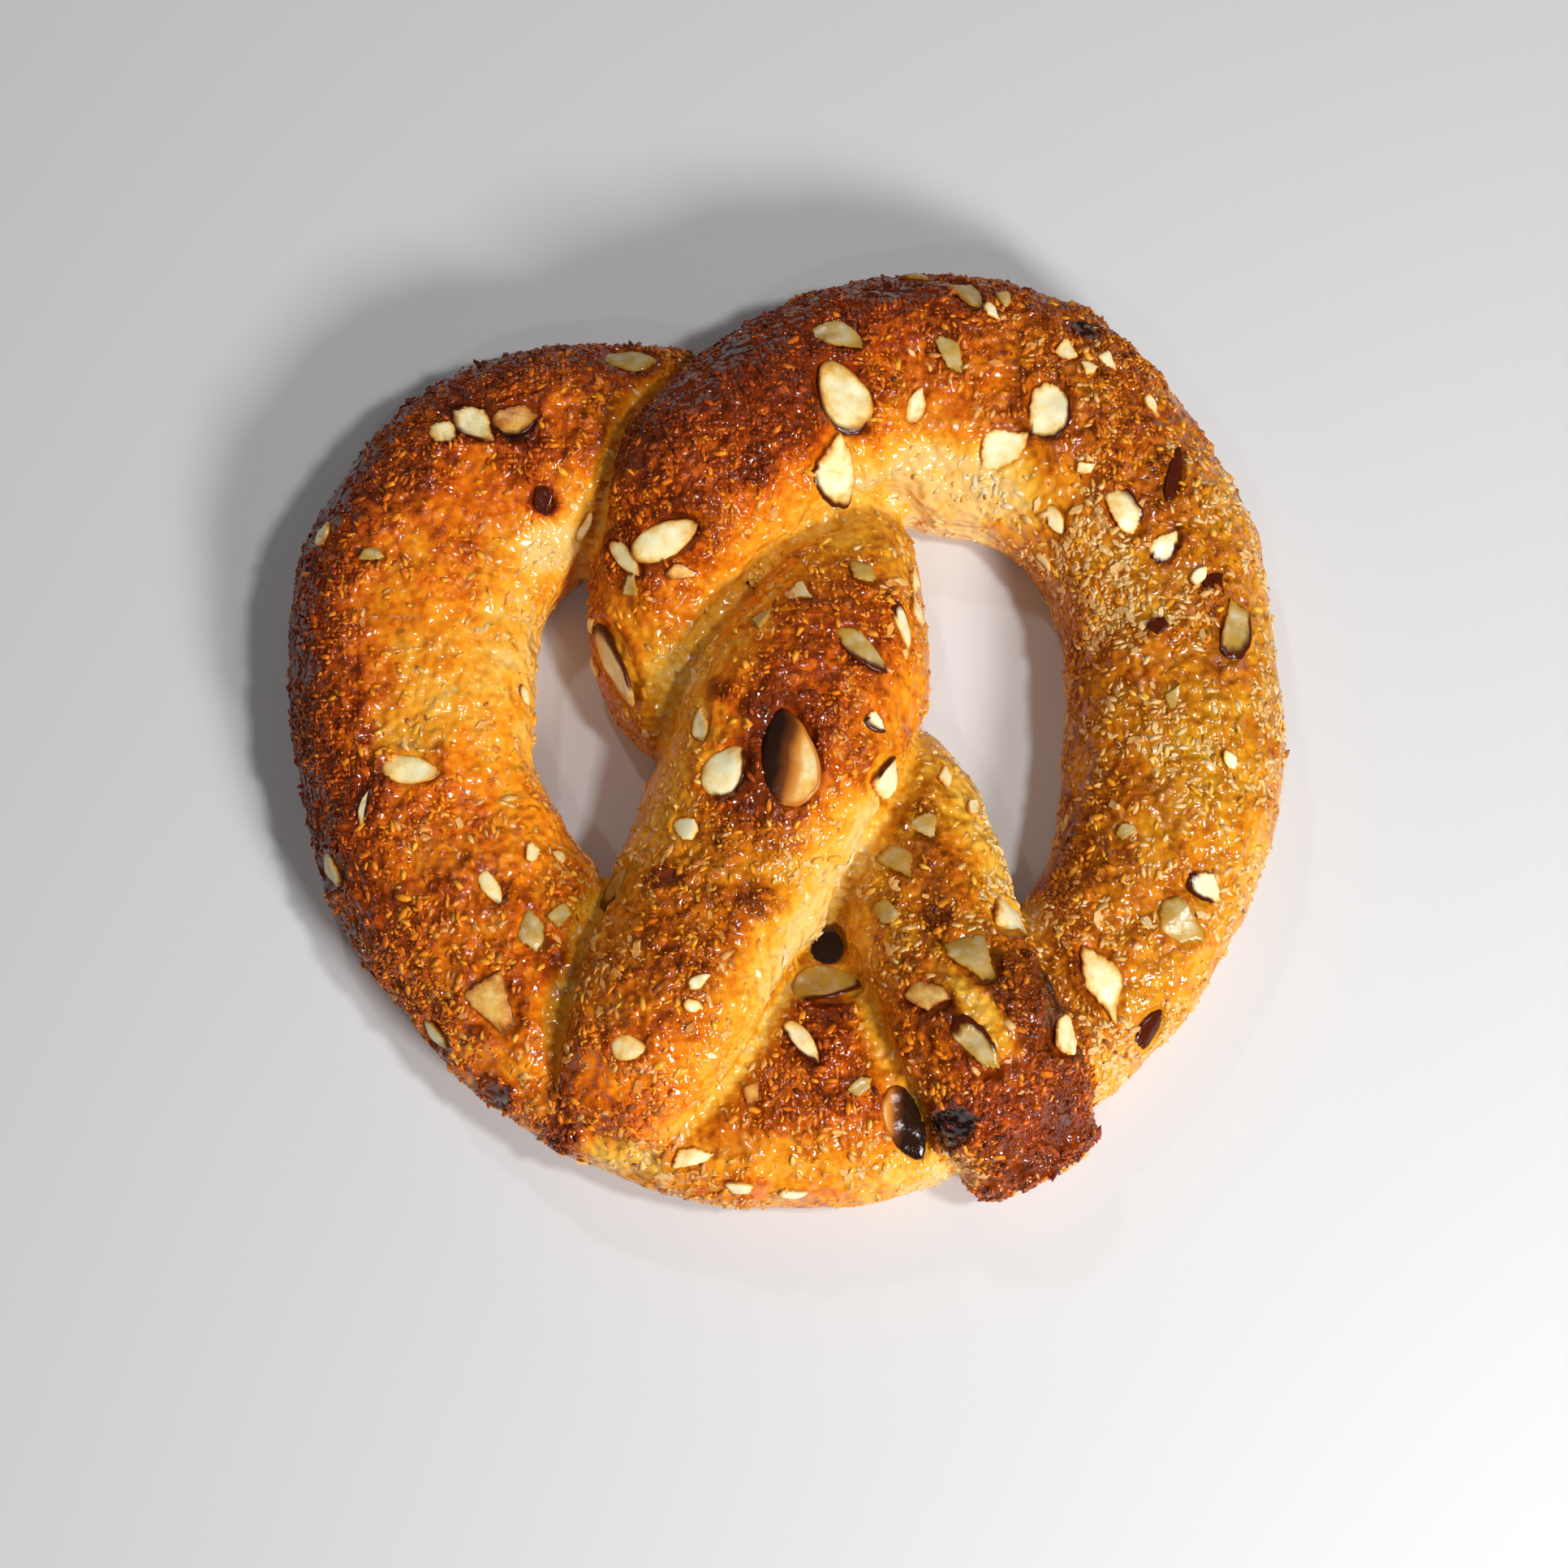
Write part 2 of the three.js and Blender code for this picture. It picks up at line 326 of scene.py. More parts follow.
# Rows of Station, from the left end to the right end. Left and right are as seen going along the rope.
STATION_ROWS = [
    # the left end, over the belly
    (-32.3, -72, 22, 2, 19, 0.85, 0.50, 0.30, 0.8),
    (-30.5, -67, 26, 4, 26, 0.66, 0.42, 0.26, 0.95),
    (-27.5, -58, 31, 8, 32, 0.56, 0.48, 0.26, 0.85),
    (-22.5, -47, 35, 7, 33, 0.46, 0.56, 0.12, 0.6),
    # up through the middle, over the other arm
    (-16.5, -35, 37, 2, 30, 0.30, 0.58, -0.02, 0.45),
    (-10.8, -25, 38, 0, 29, 0.16, 0.56, -0.04, 0.45),
    (-5.5, -13, 40, 2, 32, 0.17, 0.58, 0.12, 0.7),
    (-0.5, -1, 43, 4, 35, 0.22, 0.64, 0.40, 0.8),
    (3.5, 9, 41, 3, 34, 0.26, 0.60, 0.36, 0.85),
    (6.5, 19, 36, 0, 30, 0.38, 0.58, 0.36, 0.7),
    (8, 29, 30, 0, 26, 0.34, 0.46, 0.36, 0.3),
    (6.5, 38, 28, 0, 21, 0.30, 0.35, 0.32, 0.15),
    # under the other arm
    (0, 45, 30, 0, 19, 0.30, 0.30, 0.30, 0.2),
    (-10, 50, 32, 0, 19, 0.30, 0.30, 0.30, 0.3),
    (-20, 53.5, 31.5, 0, 21, 0.25, 0.50, 0.60, 0.5),
    # round the left loop
    (-29, 53.5, 35, 0, 23, 0.30, 0.62, 0.72, 0.7),
    (-39, 50.8, 40.5, 0, 25, 0.12, 0.60, 0.80, 0.85),
    (-49.2, 46.2, 43.5, 0, 25, 0.16, 0.56, 0.82, 0.95),
    (-57.3, 38.4, 43, 0, 25, 0.20, 0.50, 0.82, 0.95),
    (-63.7, 27.7, 43.5, 0, 25, 0.24, 0.44, 0.80, 0.95),
    (-66, 12, 42.5, 0, 25, 0.27, 0.40, 0.78, 0.9),
    (-65, -7.2, 40, 0, 24, 0.26, 0.42, 0.76, 0.85),
    (-60, -22, 41, 0, 24, 0.34, 0.48, 0.72, 0.75),
    (-53.4, -33.4, 40.5, 0, 24, 0.42, 0.50, 0.62, 0.75),
    (-44.5, -42.6, 42, 0, 24, 0.48, 0.48, 0.52, 0.8),
    # the belly
    (-33, -52.8, 41.5, 0, 23, 0.50, 0.50, 0.45, 0.7),
    (-20, -59, 41, 0, 23, 0.50, 0.55, 0.40, 0.6),
    (-6, -61, 43, 0, 24, 0.58, 0.60, 0.40, 0.75),
    (8, -60.5, 43, 0, 24, 0.58, 0.60, 0.35, 0.75),
    (22, -58, 40, 0, 23, 0.52, 0.52, 0.24, 0.6),
    (35.5, -54, 37, 0, 22, 0.50, 0.50, 0.28, 0.5),
    # round the right loop
    (47, -47, 35, 0, 22, 0.60, 0.46, 0.30, 0.5),
    (57.5, -36, 34, 0, 22, 0.58, 0.46, 0.30, 0.3),
    (64, -22, 36, 0, 24, 0.54, 0.46, 0.34, 0.25),
    (67.5, -6, 37.5, 0, 25, 0.52, 0.47, 0.42, 0.2),
    (68, 8, 37, 0, 25, 0.52, 0.48, 0.42, 0.2),
    (66.8, 21, 37.5, 0, 25, 0.48, 0.50, 0.38, 0.25),
    (63.5, 34.5, 39, 0, 26, 0.44, 0.52, 0.42, 0.35),
    (55.5, 47, 41, 0, 26, 0.36, 0.54, 0.60, 0.5),
    (44, 56, 45, 0, 27, 0.18, 0.54, 0.64, 0.55),
    (30, 60, 46, 0, 28, 0.08, 0.50, 0.68, 0.7),
    (16, 60.5, 43.5, 0, 29, 0.10, 0.54, 0.74, 0.85),
    (5, 56.5, 41, 1, 31, 0.24, 0.66, 0.80, 0.9),
    # over the first arm, and down round its side
    (-5, 50.5, 38, 5, 34, 0.28, 0.72, 0.80, 0.95),
    (-14.5, 41.5, 36, 8, 35, 0.30, 0.68, 0.80, 0.95),
    (-20.5, 29.5, 31, 4, 31, 0.36, 0.62, 0.62, 0.85),
    (-22.8, 18, 25, 0, 26, 0.30, 0.50, 0.45, 0.6),
    (-20.5, 8, 22, 0, 21, 0.30, 0.35, 0.35, 0.4),
    (-12, 0.5, 22, 0, 18, 0.30, 0.30, 0.30, 0.4),
    # under the first arm and out to the right end, over the belly
    (0, -4, 25, 0, 18, 0.30, 0.30, 0.30, 0.3),
    (11, -7.5, 27, 0, 19, 0.40, 0.40, 0.30, 0.4),
    (18.5, -14, 27, 0, 21, 0.20, 0.52, 0.34, 0.2),
    (22, -24, 29, 0, 23, 0.16, 0.52, 0.38, 0.2),
    (23, -35, 33, 2, 26, 0.18, 0.50, 0.36, 0.25),
    (26, -47, 33, 7, 31, 0.72, 0.66, 0.42, 0.45),
    (30.5, -57, 32, 9, 33, 0.82, 0.66, 0.48, 0.6),
    (35.2, -65.5, 31, 6, 29, 0.78, 0.66, 0.66, 0.85),
    (40.3, -74.6, 23, 2, 19, 0.80, 0.76, 0.72, 0.9),
]
STATIONS = [Station(*row) for row in STATION_ROWS]
# The rope is joined from stretches that don't meet themselves: the stations where it is divided.
STRETCH_ENDS = (0, 13, 27, 42, 47, len(STATIONS) - 1)


# Where a section's row of numbers holds each of a station's fields after x and y.
WIDE, LOW, HIGH, LEFT, CROWN, RIGHT, WARMTH = range(2, 9)


@dataclass
class Rope:
    """The rope of dough: sections along a smooth curve through the stations."""

    stations: Sequence[Station] = tuple(STATIONS)
    steps_per_span: int = 8
    section_sides: int = 64
    widest_level: float = 0.36
    dome_power: float = 2.3
    foot_power: float = 4.0
    base_trim: float = 1.2
    outline_power: float = 2.3
    off_section_cost: float = 1.5
    chunk: int = 4000
    nose_length: float = 4.0
    nose_rings: int = 6
    rows: Array = field(init=False)
    headings: Array = field(init=False)

    def __post_init__(self) -> None:
        """Works out every section's numbers and heading once."""
        self.rows = self.curve(np.array(self.stations, float))
        headings = np.gradient(self.rows[:, :2], axis=0)
        self.headings = headings / np.linalg.norm(headings, axis=1, keepdims=True)

    def curve(self, knots: Array) -> Array:
        """Points on the Catmull-Rom curve: on each span a cubic whose slopes are half the neighbours' gap.

        Args:
            knots: One row of numbers per station.

        Returns:
            The same numbers for every section, with steps_per_span sections to a span.
        """
        padded = np.vstack([2 * knots[0] - knots[1], knots, 2 * knots[-1] - knots[-2]])
        before, start, end, after = padded[:-3], padded[1:-2], padded[2:-1], padded[3:]
        t = (np.arange(self.steps_per_span) / self.steps_per_span)[None, :, None]
        before, start, end, after = (part[:, None, :] for part in (before, start, end, after))
        cubic = (
            2 * start
            + (end - before) * t
            + (2 * before - 5 * start + 4 * end - after) * t**2
            + (3 * start - before - 3 * end + after) * t**3
        ) / 2
        return np.vstack([cubic.reshape(-1, knots.shape[1]), knots[-1:]])

    def section(self, wide: Array, low: Array, high: Array) -> tuple[Array, Array]:
        """A dome on a squarer foot: across = w/2 cos^(2/p), up = widest + reach sin^(2/p), signs kept.

        Args:
            wide: Widths, shape (n,).
            low: Undersides, shape (n,).
            high: Tops, shape (n,).

        Returns:
            Each corner's place across the rope and its height, both of shape (n, section_sides).
        """
        turn = 2 * np.pi * (np.arange(self.section_sides) + 0.5) / self.section_sides
        dome = np.sin(turn) > 0
        power = 2 / np.where(dome, self.dome_power, self.foot_power)
        foot = np.where(low > 0, low, low - self.base_trim)
        widest = low + self.widest_level * (high - low)
        reach = np.where(dome[None, :], (high - widest)[:, None], (widest - foot)[:, None])
        cosine, sine = np.cos(turn), np.sin(turn)
        across = wide[:, None] / 2 * np.sign(cosine) * np.abs(cosine) ** power
        up = widest[:, None] + reach * np.sign(sine) * np.abs(sine) ** power
        return across, up

    def nose(self, row: Array, heading: Array) -> tuple[Array, Array]:
        """Shrinking sections past an end: a quarter turn, along by its sine and smaller by its cosine.

        Args:
            row: The end section's numbers.
            heading: The way the rope would go on.

        Returns:
            Rows and headings of the extra sections, going outwards.
        """
        turn = np.arange(1, self.nose_rings + 1) / (self.nose_rings + 0.5) * np.pi / 2
        share = np.cos(turn)
        rows = np.repeat(row[None, :], self.nose_rings, axis=0)
        rows[:, :2] += heading * (self.nose_length * np.sin(turn))[:, None]
        middle = row[LOW] + self.widest_level * (row[HIGH] - row[LOW])
        rows[:, WIDE] *= share
        rows[:, LOW] = middle + (row[LOW] - middle) * share
        rows[:, HIGH] = middle + (row[HIGH] - middle) * share
        return rows, np.repeat(heading[None, :], self.nose_rings, axis=0)

    def stretch(self, first: int, last: int) -> tuple[Array, Array, Array]:
        """One stretch between two stations as a closed surface with fans over its ends.

        Args:
            first: The station where it starts.
            last: The station where it ends.

        Returns:
            Points, quads and end triangles.
        """
        start, stop = first * self.steps_per_span, last * self.steps_per_span + 3
        rows, headings = self.rows[start:stop], self.headings[start:stop]
        if first == 0:
            extra, ways = self.nose(rows[0], -headings[0])
            rows = np.vstack([extra[::-1], rows])
            headings = np.vstack([-ways[::-1], headings])
        if last == len(self.stations) - 1:
            extra, ways = self.nose(rows[-1], headings[-1])
            rows, headings = np.vstack([rows, extra]), np.vstack([headings, ways])
        across, up = self.section(rows[:, WIDE], rows[:, LOW], rows[:, HIGH])
        right = np.stack([headings[:, 1], -headings[:, 0]], axis=1)
        plan = rows[:, None, :2] + across[..., None] * right[:, None, :]
        rings = np.concatenate([plan, up[..., None]], axis=2)
        points = np.vstack([rings.reshape(-1, 3), rings[0].mean(axis=0), rings[-1].mean(axis=0)])
        count, sides = len(rows), self.section_sides
        return points, ring_faces(count, sides), fan_caps(count, sides)

    def places(self, points: Array) -> dict[str, Array]:
        """For each point on the skin, the section it belongs to and where it lies on it.

        A point belongs to the section whose outline it is nearest to, among those that it is level with.
        Its place in a section's outline is (|across|^p + |up|^p)^(1/p), which is 1 on the outline.

        Args:
            points: Places in millimetres, shape (n, 3).

        Returns:
            "row": the section's numbers; "side": -1 on the left edge to 1 on the right.
        """
        wide, low, high = self.rows[:, WIDE], self.rows[:, LOW], self.rows[:, HIGH]
        widest = low + self.widest_level * (high - low)
        power = self.outline_power
        best = np.empty(len(points), int)
        for start in range(0, len(points), self.chunk):
            part = points[start : start + self.chunk]
            gap = part[:, None, :2] - self.rows[None, :, :2]
            along = (gap * self.headings[None]).sum(axis=2)
            across = gap[..., 0] * self.headings[None, :, 1] - gap[..., 1] * self.headings[None, :, 0]
            rise = part[:, None, 2] - widest[None]
            reach = np.where(rise > 0, high - widest, widest - low + self.base_trim)
            radius = (np.abs(across / (wide / 2)) ** power + np.abs(rise / reach) ** power) ** (1 / power)
            apart = np.maximum(np.abs(along) - 1.0, 0)
            cost = np.abs(radius - 1) * wide / 2 + self.off_section_cost * apart
            best[start : start + self.chunk] = cost.argmin(axis=1)
        row, heading = self.rows[best], self.headings[best]
        gap = points[:, :2] - row[:, :2]
        across = gap[:, 0] * heading[:, 1] - gap[:, 1] * heading[:, 0]
        return {"row": row, "side": np.clip(across / (row[:, WIDE] / 2), -1, 1)}


# ------------------------------------------------------------------------------------ almond flakes


class Look(Enum):
    """How an almond flake baked."""

    WHOLE = "whole"
    BROKEN = "broken"
    GLAZED = "glazed"
    BURNT = "burnt"
    TOASTED = "toasted"
    SKIN = "skin"
    SLIVER = "sliver"
    STEEPED = "steeped"
    CHARRED = "charred"


# How much more toasted the almond of some looks is, and how much of a flake lies under glaze.
EXTRA_TOAST = {Look.TOASTED: 0.44, Look.STEEPED: 0.12, Look.GLAZED: 0.10}
UNDER_GLAZE = {Look.GLAZED: 0.85, Look.STEEPED: 1.0, Look.SKIN: 0.6, Look.SLIVER: 0.2, Look.CHARRED: 0.4}


class FlakeSpec(NamedTuple):
    """A flake's size, its turn in plan, how it baked, and which side keeps its skin or is burnt.

    Turns and sides are degrees from +X.
    """

    length: float
    width: float
    turn: float
    look: Look
    skin: float | None = None


W, B, G, C, K, S = Look.WHOLE, Look.BROKEN, Look.GLAZED, Look.BURNT, Look.SKIN, Look.SLIVER
T, D, H = Look.TOASTED, Look.STEEPED, Look.CHARRED

# Rows of FlakeSpec in the frame's order, almond_flake_01 first.
FLAKE_ROWS = [
    # upper left
    (12.4, 6.0, 28, W), (8.4, 3.2, -50, S), (15.5, 5.4, -66, W, 60), (8.8, 5.6, -40, B, 200),
    (8, 5.6, 10, T, 270), (5, 4.4, -20, B), (9.5, 5.6, -5, G), (5.2, 3.8, -70, K), (5.4, 2.8, -10, G),
    # upper right
    (13.8, 9.2, 112, W, 240), (12.5, 9, -55, B, 250), (9.6, 4.6, -25, G), (11, 7.2, 78, B, 300),
    (9.4, 6.8, 40, B), (8.4, 4.8, -65, G), (7.2, 3.4, 68, S), (7.4, 4.2, -60, G), (4.8, 3.4, -50, B),
    (10.8, 3, 72, K), (9, 5.8, -52, B, 60), (6.8, 4.2, 65, B, 280), (12, 5.4, 78, G, 290),
    (5.8, 2.4, 25, K), (5.8, 3, -70, S),
    # middle
    (5.8, 4.8, -30, G), (4.8, 3.6, -40, B), (9.4, 3.6, -74, S, 90), (9.8, 5.4, -42, G, 250),
    (6.8, 3.2, 75, S), (9.6, 7.2, 50, W, -40), (16.4, 9.0, 98, C, 170), (8.8, 6.4, 68, B, 90),
    (4.8, 4.2, -45, B),
    # lower left
    (9.8, 5, -5, W), (7, 4.4, -50, B), (7.8, 4.6, -85, G), (6.4, 3.2, -62, S), (8.4, 5.2, 35, G, 200),
    (11.8, 7.6, -56, T), (7, 3.4, -45, S), (5.8, 4.4, 0, W), (8, 4, 12, B),
    # lower right
    (5.2, 4.4, -50, G), (8.4, 5.2, -48, G), (8, 6.8, -10, B), (9.8, 7.4, -62, G), (7.8, 5.2, -18, T),
    (10.4, 4.6, -58, G, 90), (11.6, 7.6, 0, D, 300), (8.8, 3.6, -55, W, 235), (12.8, 7.0, -66, H, 0),
    (14, 6.4, -70, B), (9.4, 6.6, 25, B), (8.2, 4.2, 62, K), (8.8, 6.4, -45, G),
]
FLAKES = [FlakeSpec(*row) for row in FLAKE_ROWS]


class Bit(NamedTuple):
    """A small loose piece of flake: its place in plan, and what it is."""

    x: float
    y: float
    spec: FlakeSpec


# Rows of a place in plan and then a FlakeSpec.
BIT_ROWS = [
    (30, -15, 4.2, 2.4, 60, S), (69.5, -29.5, 6.5, 4.6, -50, B, 200), (-40.5, -34, 5, 3.6, 40, G),
    (-45.5, -23, 3.4, 2.8, 70, B), (-41, -23.5, 3.2, 2.6, 50, B), (-18, -46.5, 4.4, 2.2, 30, S),
    (-19, -50.5, 3.6, 2.2, -20, S), (-11, -79, 5.6, 2.6, 10, S), (-2, -80, 5, 2.4, 5, S),
    (22.5, 80.5, 4.6, 2.6, -30, G), (35, 72, 4.2, 3, -50, B), (37.5, 75, 3.6, 2.6, -60, G),
    (55.5, 63.5, 4, 2.6, -50, B), (62.5, 15.5, 4.6, 2.8, 30, K), (70, 24.5, 4.2, 2.4, 50, S),
    (25.5, -10, 4.4, 3, 70, B), (20.5, 18.5, 6.4, 3.4, 80, S), (20.5, 24.5, 5.6, 3.2, 60, B),
    (-73, -15, 7.4, 1.9, 70, S, 0), (-81, 33, 4.8, 3, 70, B), (-36.5, 35, 6, 2.2, 85, S),
    (12, -3, 4.4, 3.2, -30, B, 240), (50.5, 43.5, 4.2, 2.6, 20, B), (45, 30, 4, 2, -60, S),
    (52, 62, 3.6, 2.6, 20, B), (63, 56, 3.8, 2.4, -60, S), (-28.5, 22, 4.6, 2.6, 80, G),
    (-20, 24, 5.4, 2.8, 0, T), (-6.5, 15, 4.4, 2.4, 40, G), (-47, 5, 4, 2.2, -40, S),
    (-35, 18, 4.4, 2.6, 20, B), (-34.5, 12, 4.2, 3, 0, B), (14.5, -34, 5.4, 3.8, -40, G),
    (9, -63, 4.8, 3, 30, G), (-9, -64, 4.6, 3, 60, T), (64.5, 3, 4.4, 2.6, 60, G),
    (74, -8, 4, 2.4, -70, S), (56, -20, 4.2, 2.6, 20, G),
]
BITS = [Bit(x, y, FlakeSpec(*flake)) for x, y, *flake in BIT_ROWS]
FLAKE_NODES = [f"almond_flake_{number + 1:02d}" for number in range(len(FLAKES))]


@dataclass
class FlakeBed:
    """Where the flakes lie in plan, read from the frame, for the crust to settle round them."""

    centres: Array = field(init=False)

    def __post_init__(self) -> None:
        """Reads each flake's middle, in millimetres, from its node."""
        boxes = [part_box(node) for node in FLAKE_NODES]
        self.centres = np.array([(np.array(low) + np.array(high)) / 2 / MM for low, high in boxes])

    def nearness(self, points: Array) -> Array:
        """How far each point is from the nearest flake: 1 on its outline, less inside, more outside.

        The number is the point's distance in the ellipse of the flake, with its height counted too.

        Args:
            points: Places in millimetres, shape (n, 3).

        Returns:
            The smallest such distance for each point, shape (n,).
        """
        nearest = np.full(len(points), 9.0)
        for centre, spec in zip(self.centres, FLAKES):
            gap = points - centre
            along, across = along_and_across(gap, spec.turn)
            reach = np.sqrt(
                (along / (spec.length / 2)) ** 2
                + (across / (spec.width / 2)) ** 2
                + (gap[:, 2] / spec.length) ** 2
            )
            nearest = np.minimum(nearest, reach)
        return nearest


# ------------------------------------------------------------------------------------ the dough


class Spot(NamedTuple):
    """A round or oval patch of the crust that baked more, or less, than what is round it."""

    x: float
    y: float
    long: float
    short: float
    turn: float
    change: float


# Rows of Spot.
SPOT_ROWS = [
    # burnt sugar
    (-40.5, -42, 3.8, 2.8, 70, 0.36), (-23, -28.5, 3.2, 2.2, 10, 0.38), (23.5, -70, 4.5, 3.2, 20, 0.5),
    (-51, -63, 3.6, 2.0, -35, 0.4), (-13.5, 3, 2.2, 3, 60, 0.35), (-6.5, -33, 3.2, 4.2, 90, 0.22),
    (-9, -11, 7, 5, 40, 0.08), (-41, -71, 3, 4.5, 10, 0.28), (41, -66, 5, 11, 20, 0.07),
    (33, -75, 6, 3, -25, 0.1), (45, -46, 5, 8, 30, 0.22), (22, -35, 3, 3, 0, 0.2),
    (-53, 52, 8, 3, -20, 0.25), (-47, 49, 5, 2.5, -20, 0.2), (18, 77, 9, 4, 5, 0.08),
    (-66, 40, 7, 5, 60, 0.12), (-7, 40, 3, 3, 0, 0.15), (-72, 4, 6, 12, 0, 0.12), (52, 70, 3, 2, 0, 0.4),
    (-43, 37.5, 3, 2.5, 0, 0.25), (-72, -12, 6, 4, 60, 0.2),
    # glaze pooled beside flakes
    (-9, -17, 6, 2.4, 30, 0.14), (-7, -3, 2.4, 5, 10, 0.16), (4.5, -51, 6, 2.4, 0, 0.16),
    (10, -11, 3, 5, 0, 0.2),
    # bare or pale
    (29, 42, 15, 6.5, -8, -0.26), (-42, 31, 6, 4, 30, -0.3), (-47, 15, 8, 14, 80, -0.1),
    (8, 36, 7, 5, 40, -0.14), (24, -76, 12, 4, 10, -0.14), (-30, -74, 8, 3, -10, -0.2),
    (-65, -2, 9, 6, 60, -0.12), (-57, 8, 8, 12, 90, -0.08), (10, 44, 6, 4, -50, -0.2),
    (-22, 9, 4, 5, 30, -0.15), (-6, -74, 14, 4, 0, -0.1), (27.5, -51, 9, 3, -52, -0.45),
    (12, -22, 4, 8, 0, -0.2), (-33, -22, 3, 5, 20, -0.1),
]
SPOTS = [Spot(*row) for row in SPOT_ROWS]


class Fold(NamedTuple):
    """A crease or dent pressed into the crust along a straight line."""

    start: tuple[float, float]
    end: tuple[float, float]
    half_width: float
    depth: float


FOLDS = [
    Fold((49, -40), (67, -29), 2.6, 1.5),
    Fold((64, -31), (72, -26), 2.0, 0.8),
    Fold((-63, -20), (-53, -13), 5.0, 0.9),
    Fold((16, -33), (26, -43), 1.8, 0.7),
    Fold((-38, -30), (-24, -33), 3.0, 0.9),
    Fold((-59, 30), (-50, 37), 6.0, 0.6),
    Fold((70, 2), (74, 22), 6.0, 0.6),
    Fold((20, 46), (38, 45), 5.0, 0.7),
]


@dataclass(frozen=True)
class Oven:
    """How the oven coloured the crust.

    Sizes and heights are millimetres. A shade is the share of the bake that is taken away, and a bake
    is from 0, bare, to 1, burnt.
    """

    shoulder: Step = (0.12, 0.92)
    broad_size: float = 14.0
    patch_size: float = 5.0
    mottle: float = 0.10
    spot_wobble: float = 0.35
    spot_edge: Step = (1.35, 0.45)
    spot_base: Step = (1.0, 5.0)
    spot_pallor: float = 2.5
    deepened: Step = (0.38, 0.6)
    deepening: float = 0.05
    crease_base: Step = (3.0, 8.0)
    crease_shade: float = 0.62
    crease_bake: float = 0.10
    pool_outside: Step = (1.9, 1.05)
    pool_inside: Step = (0.8, 1.05)
    pool_bake: float = 0.06
    near_side: Step = (25.0, -45.0)
    near_slant: float = 0.35
    rim_height: float = 3.0
    near_rim_height: float = 8.0
    rim_wave: float = 1.5
    rim_shade: float = 0.75
    rim_bake: float = 0.22
    tray_base: Step = (13.0, 3.0)
    tray_shade: float = 0.18
    dark: Step = (0.4, 0.7)
    under: Step = (-0.55, -0.95)
    under_bake: float = 0.42
    syrup: Step = (0.78, 0.92)
    gritty: Step = (0.40, 0.75)
    grit_everywhere: float = 0.18
    grit_gain: float = 0.80
    grit_patches: float = 0.45
    bare: Step = (0.35, 0.12)
    grit_edge: Step = (0.85, 1.3)
    glaze_cloud: Step = (-0.5, 0.4)
    glaze_slope: Step = (0.1, 0.6)


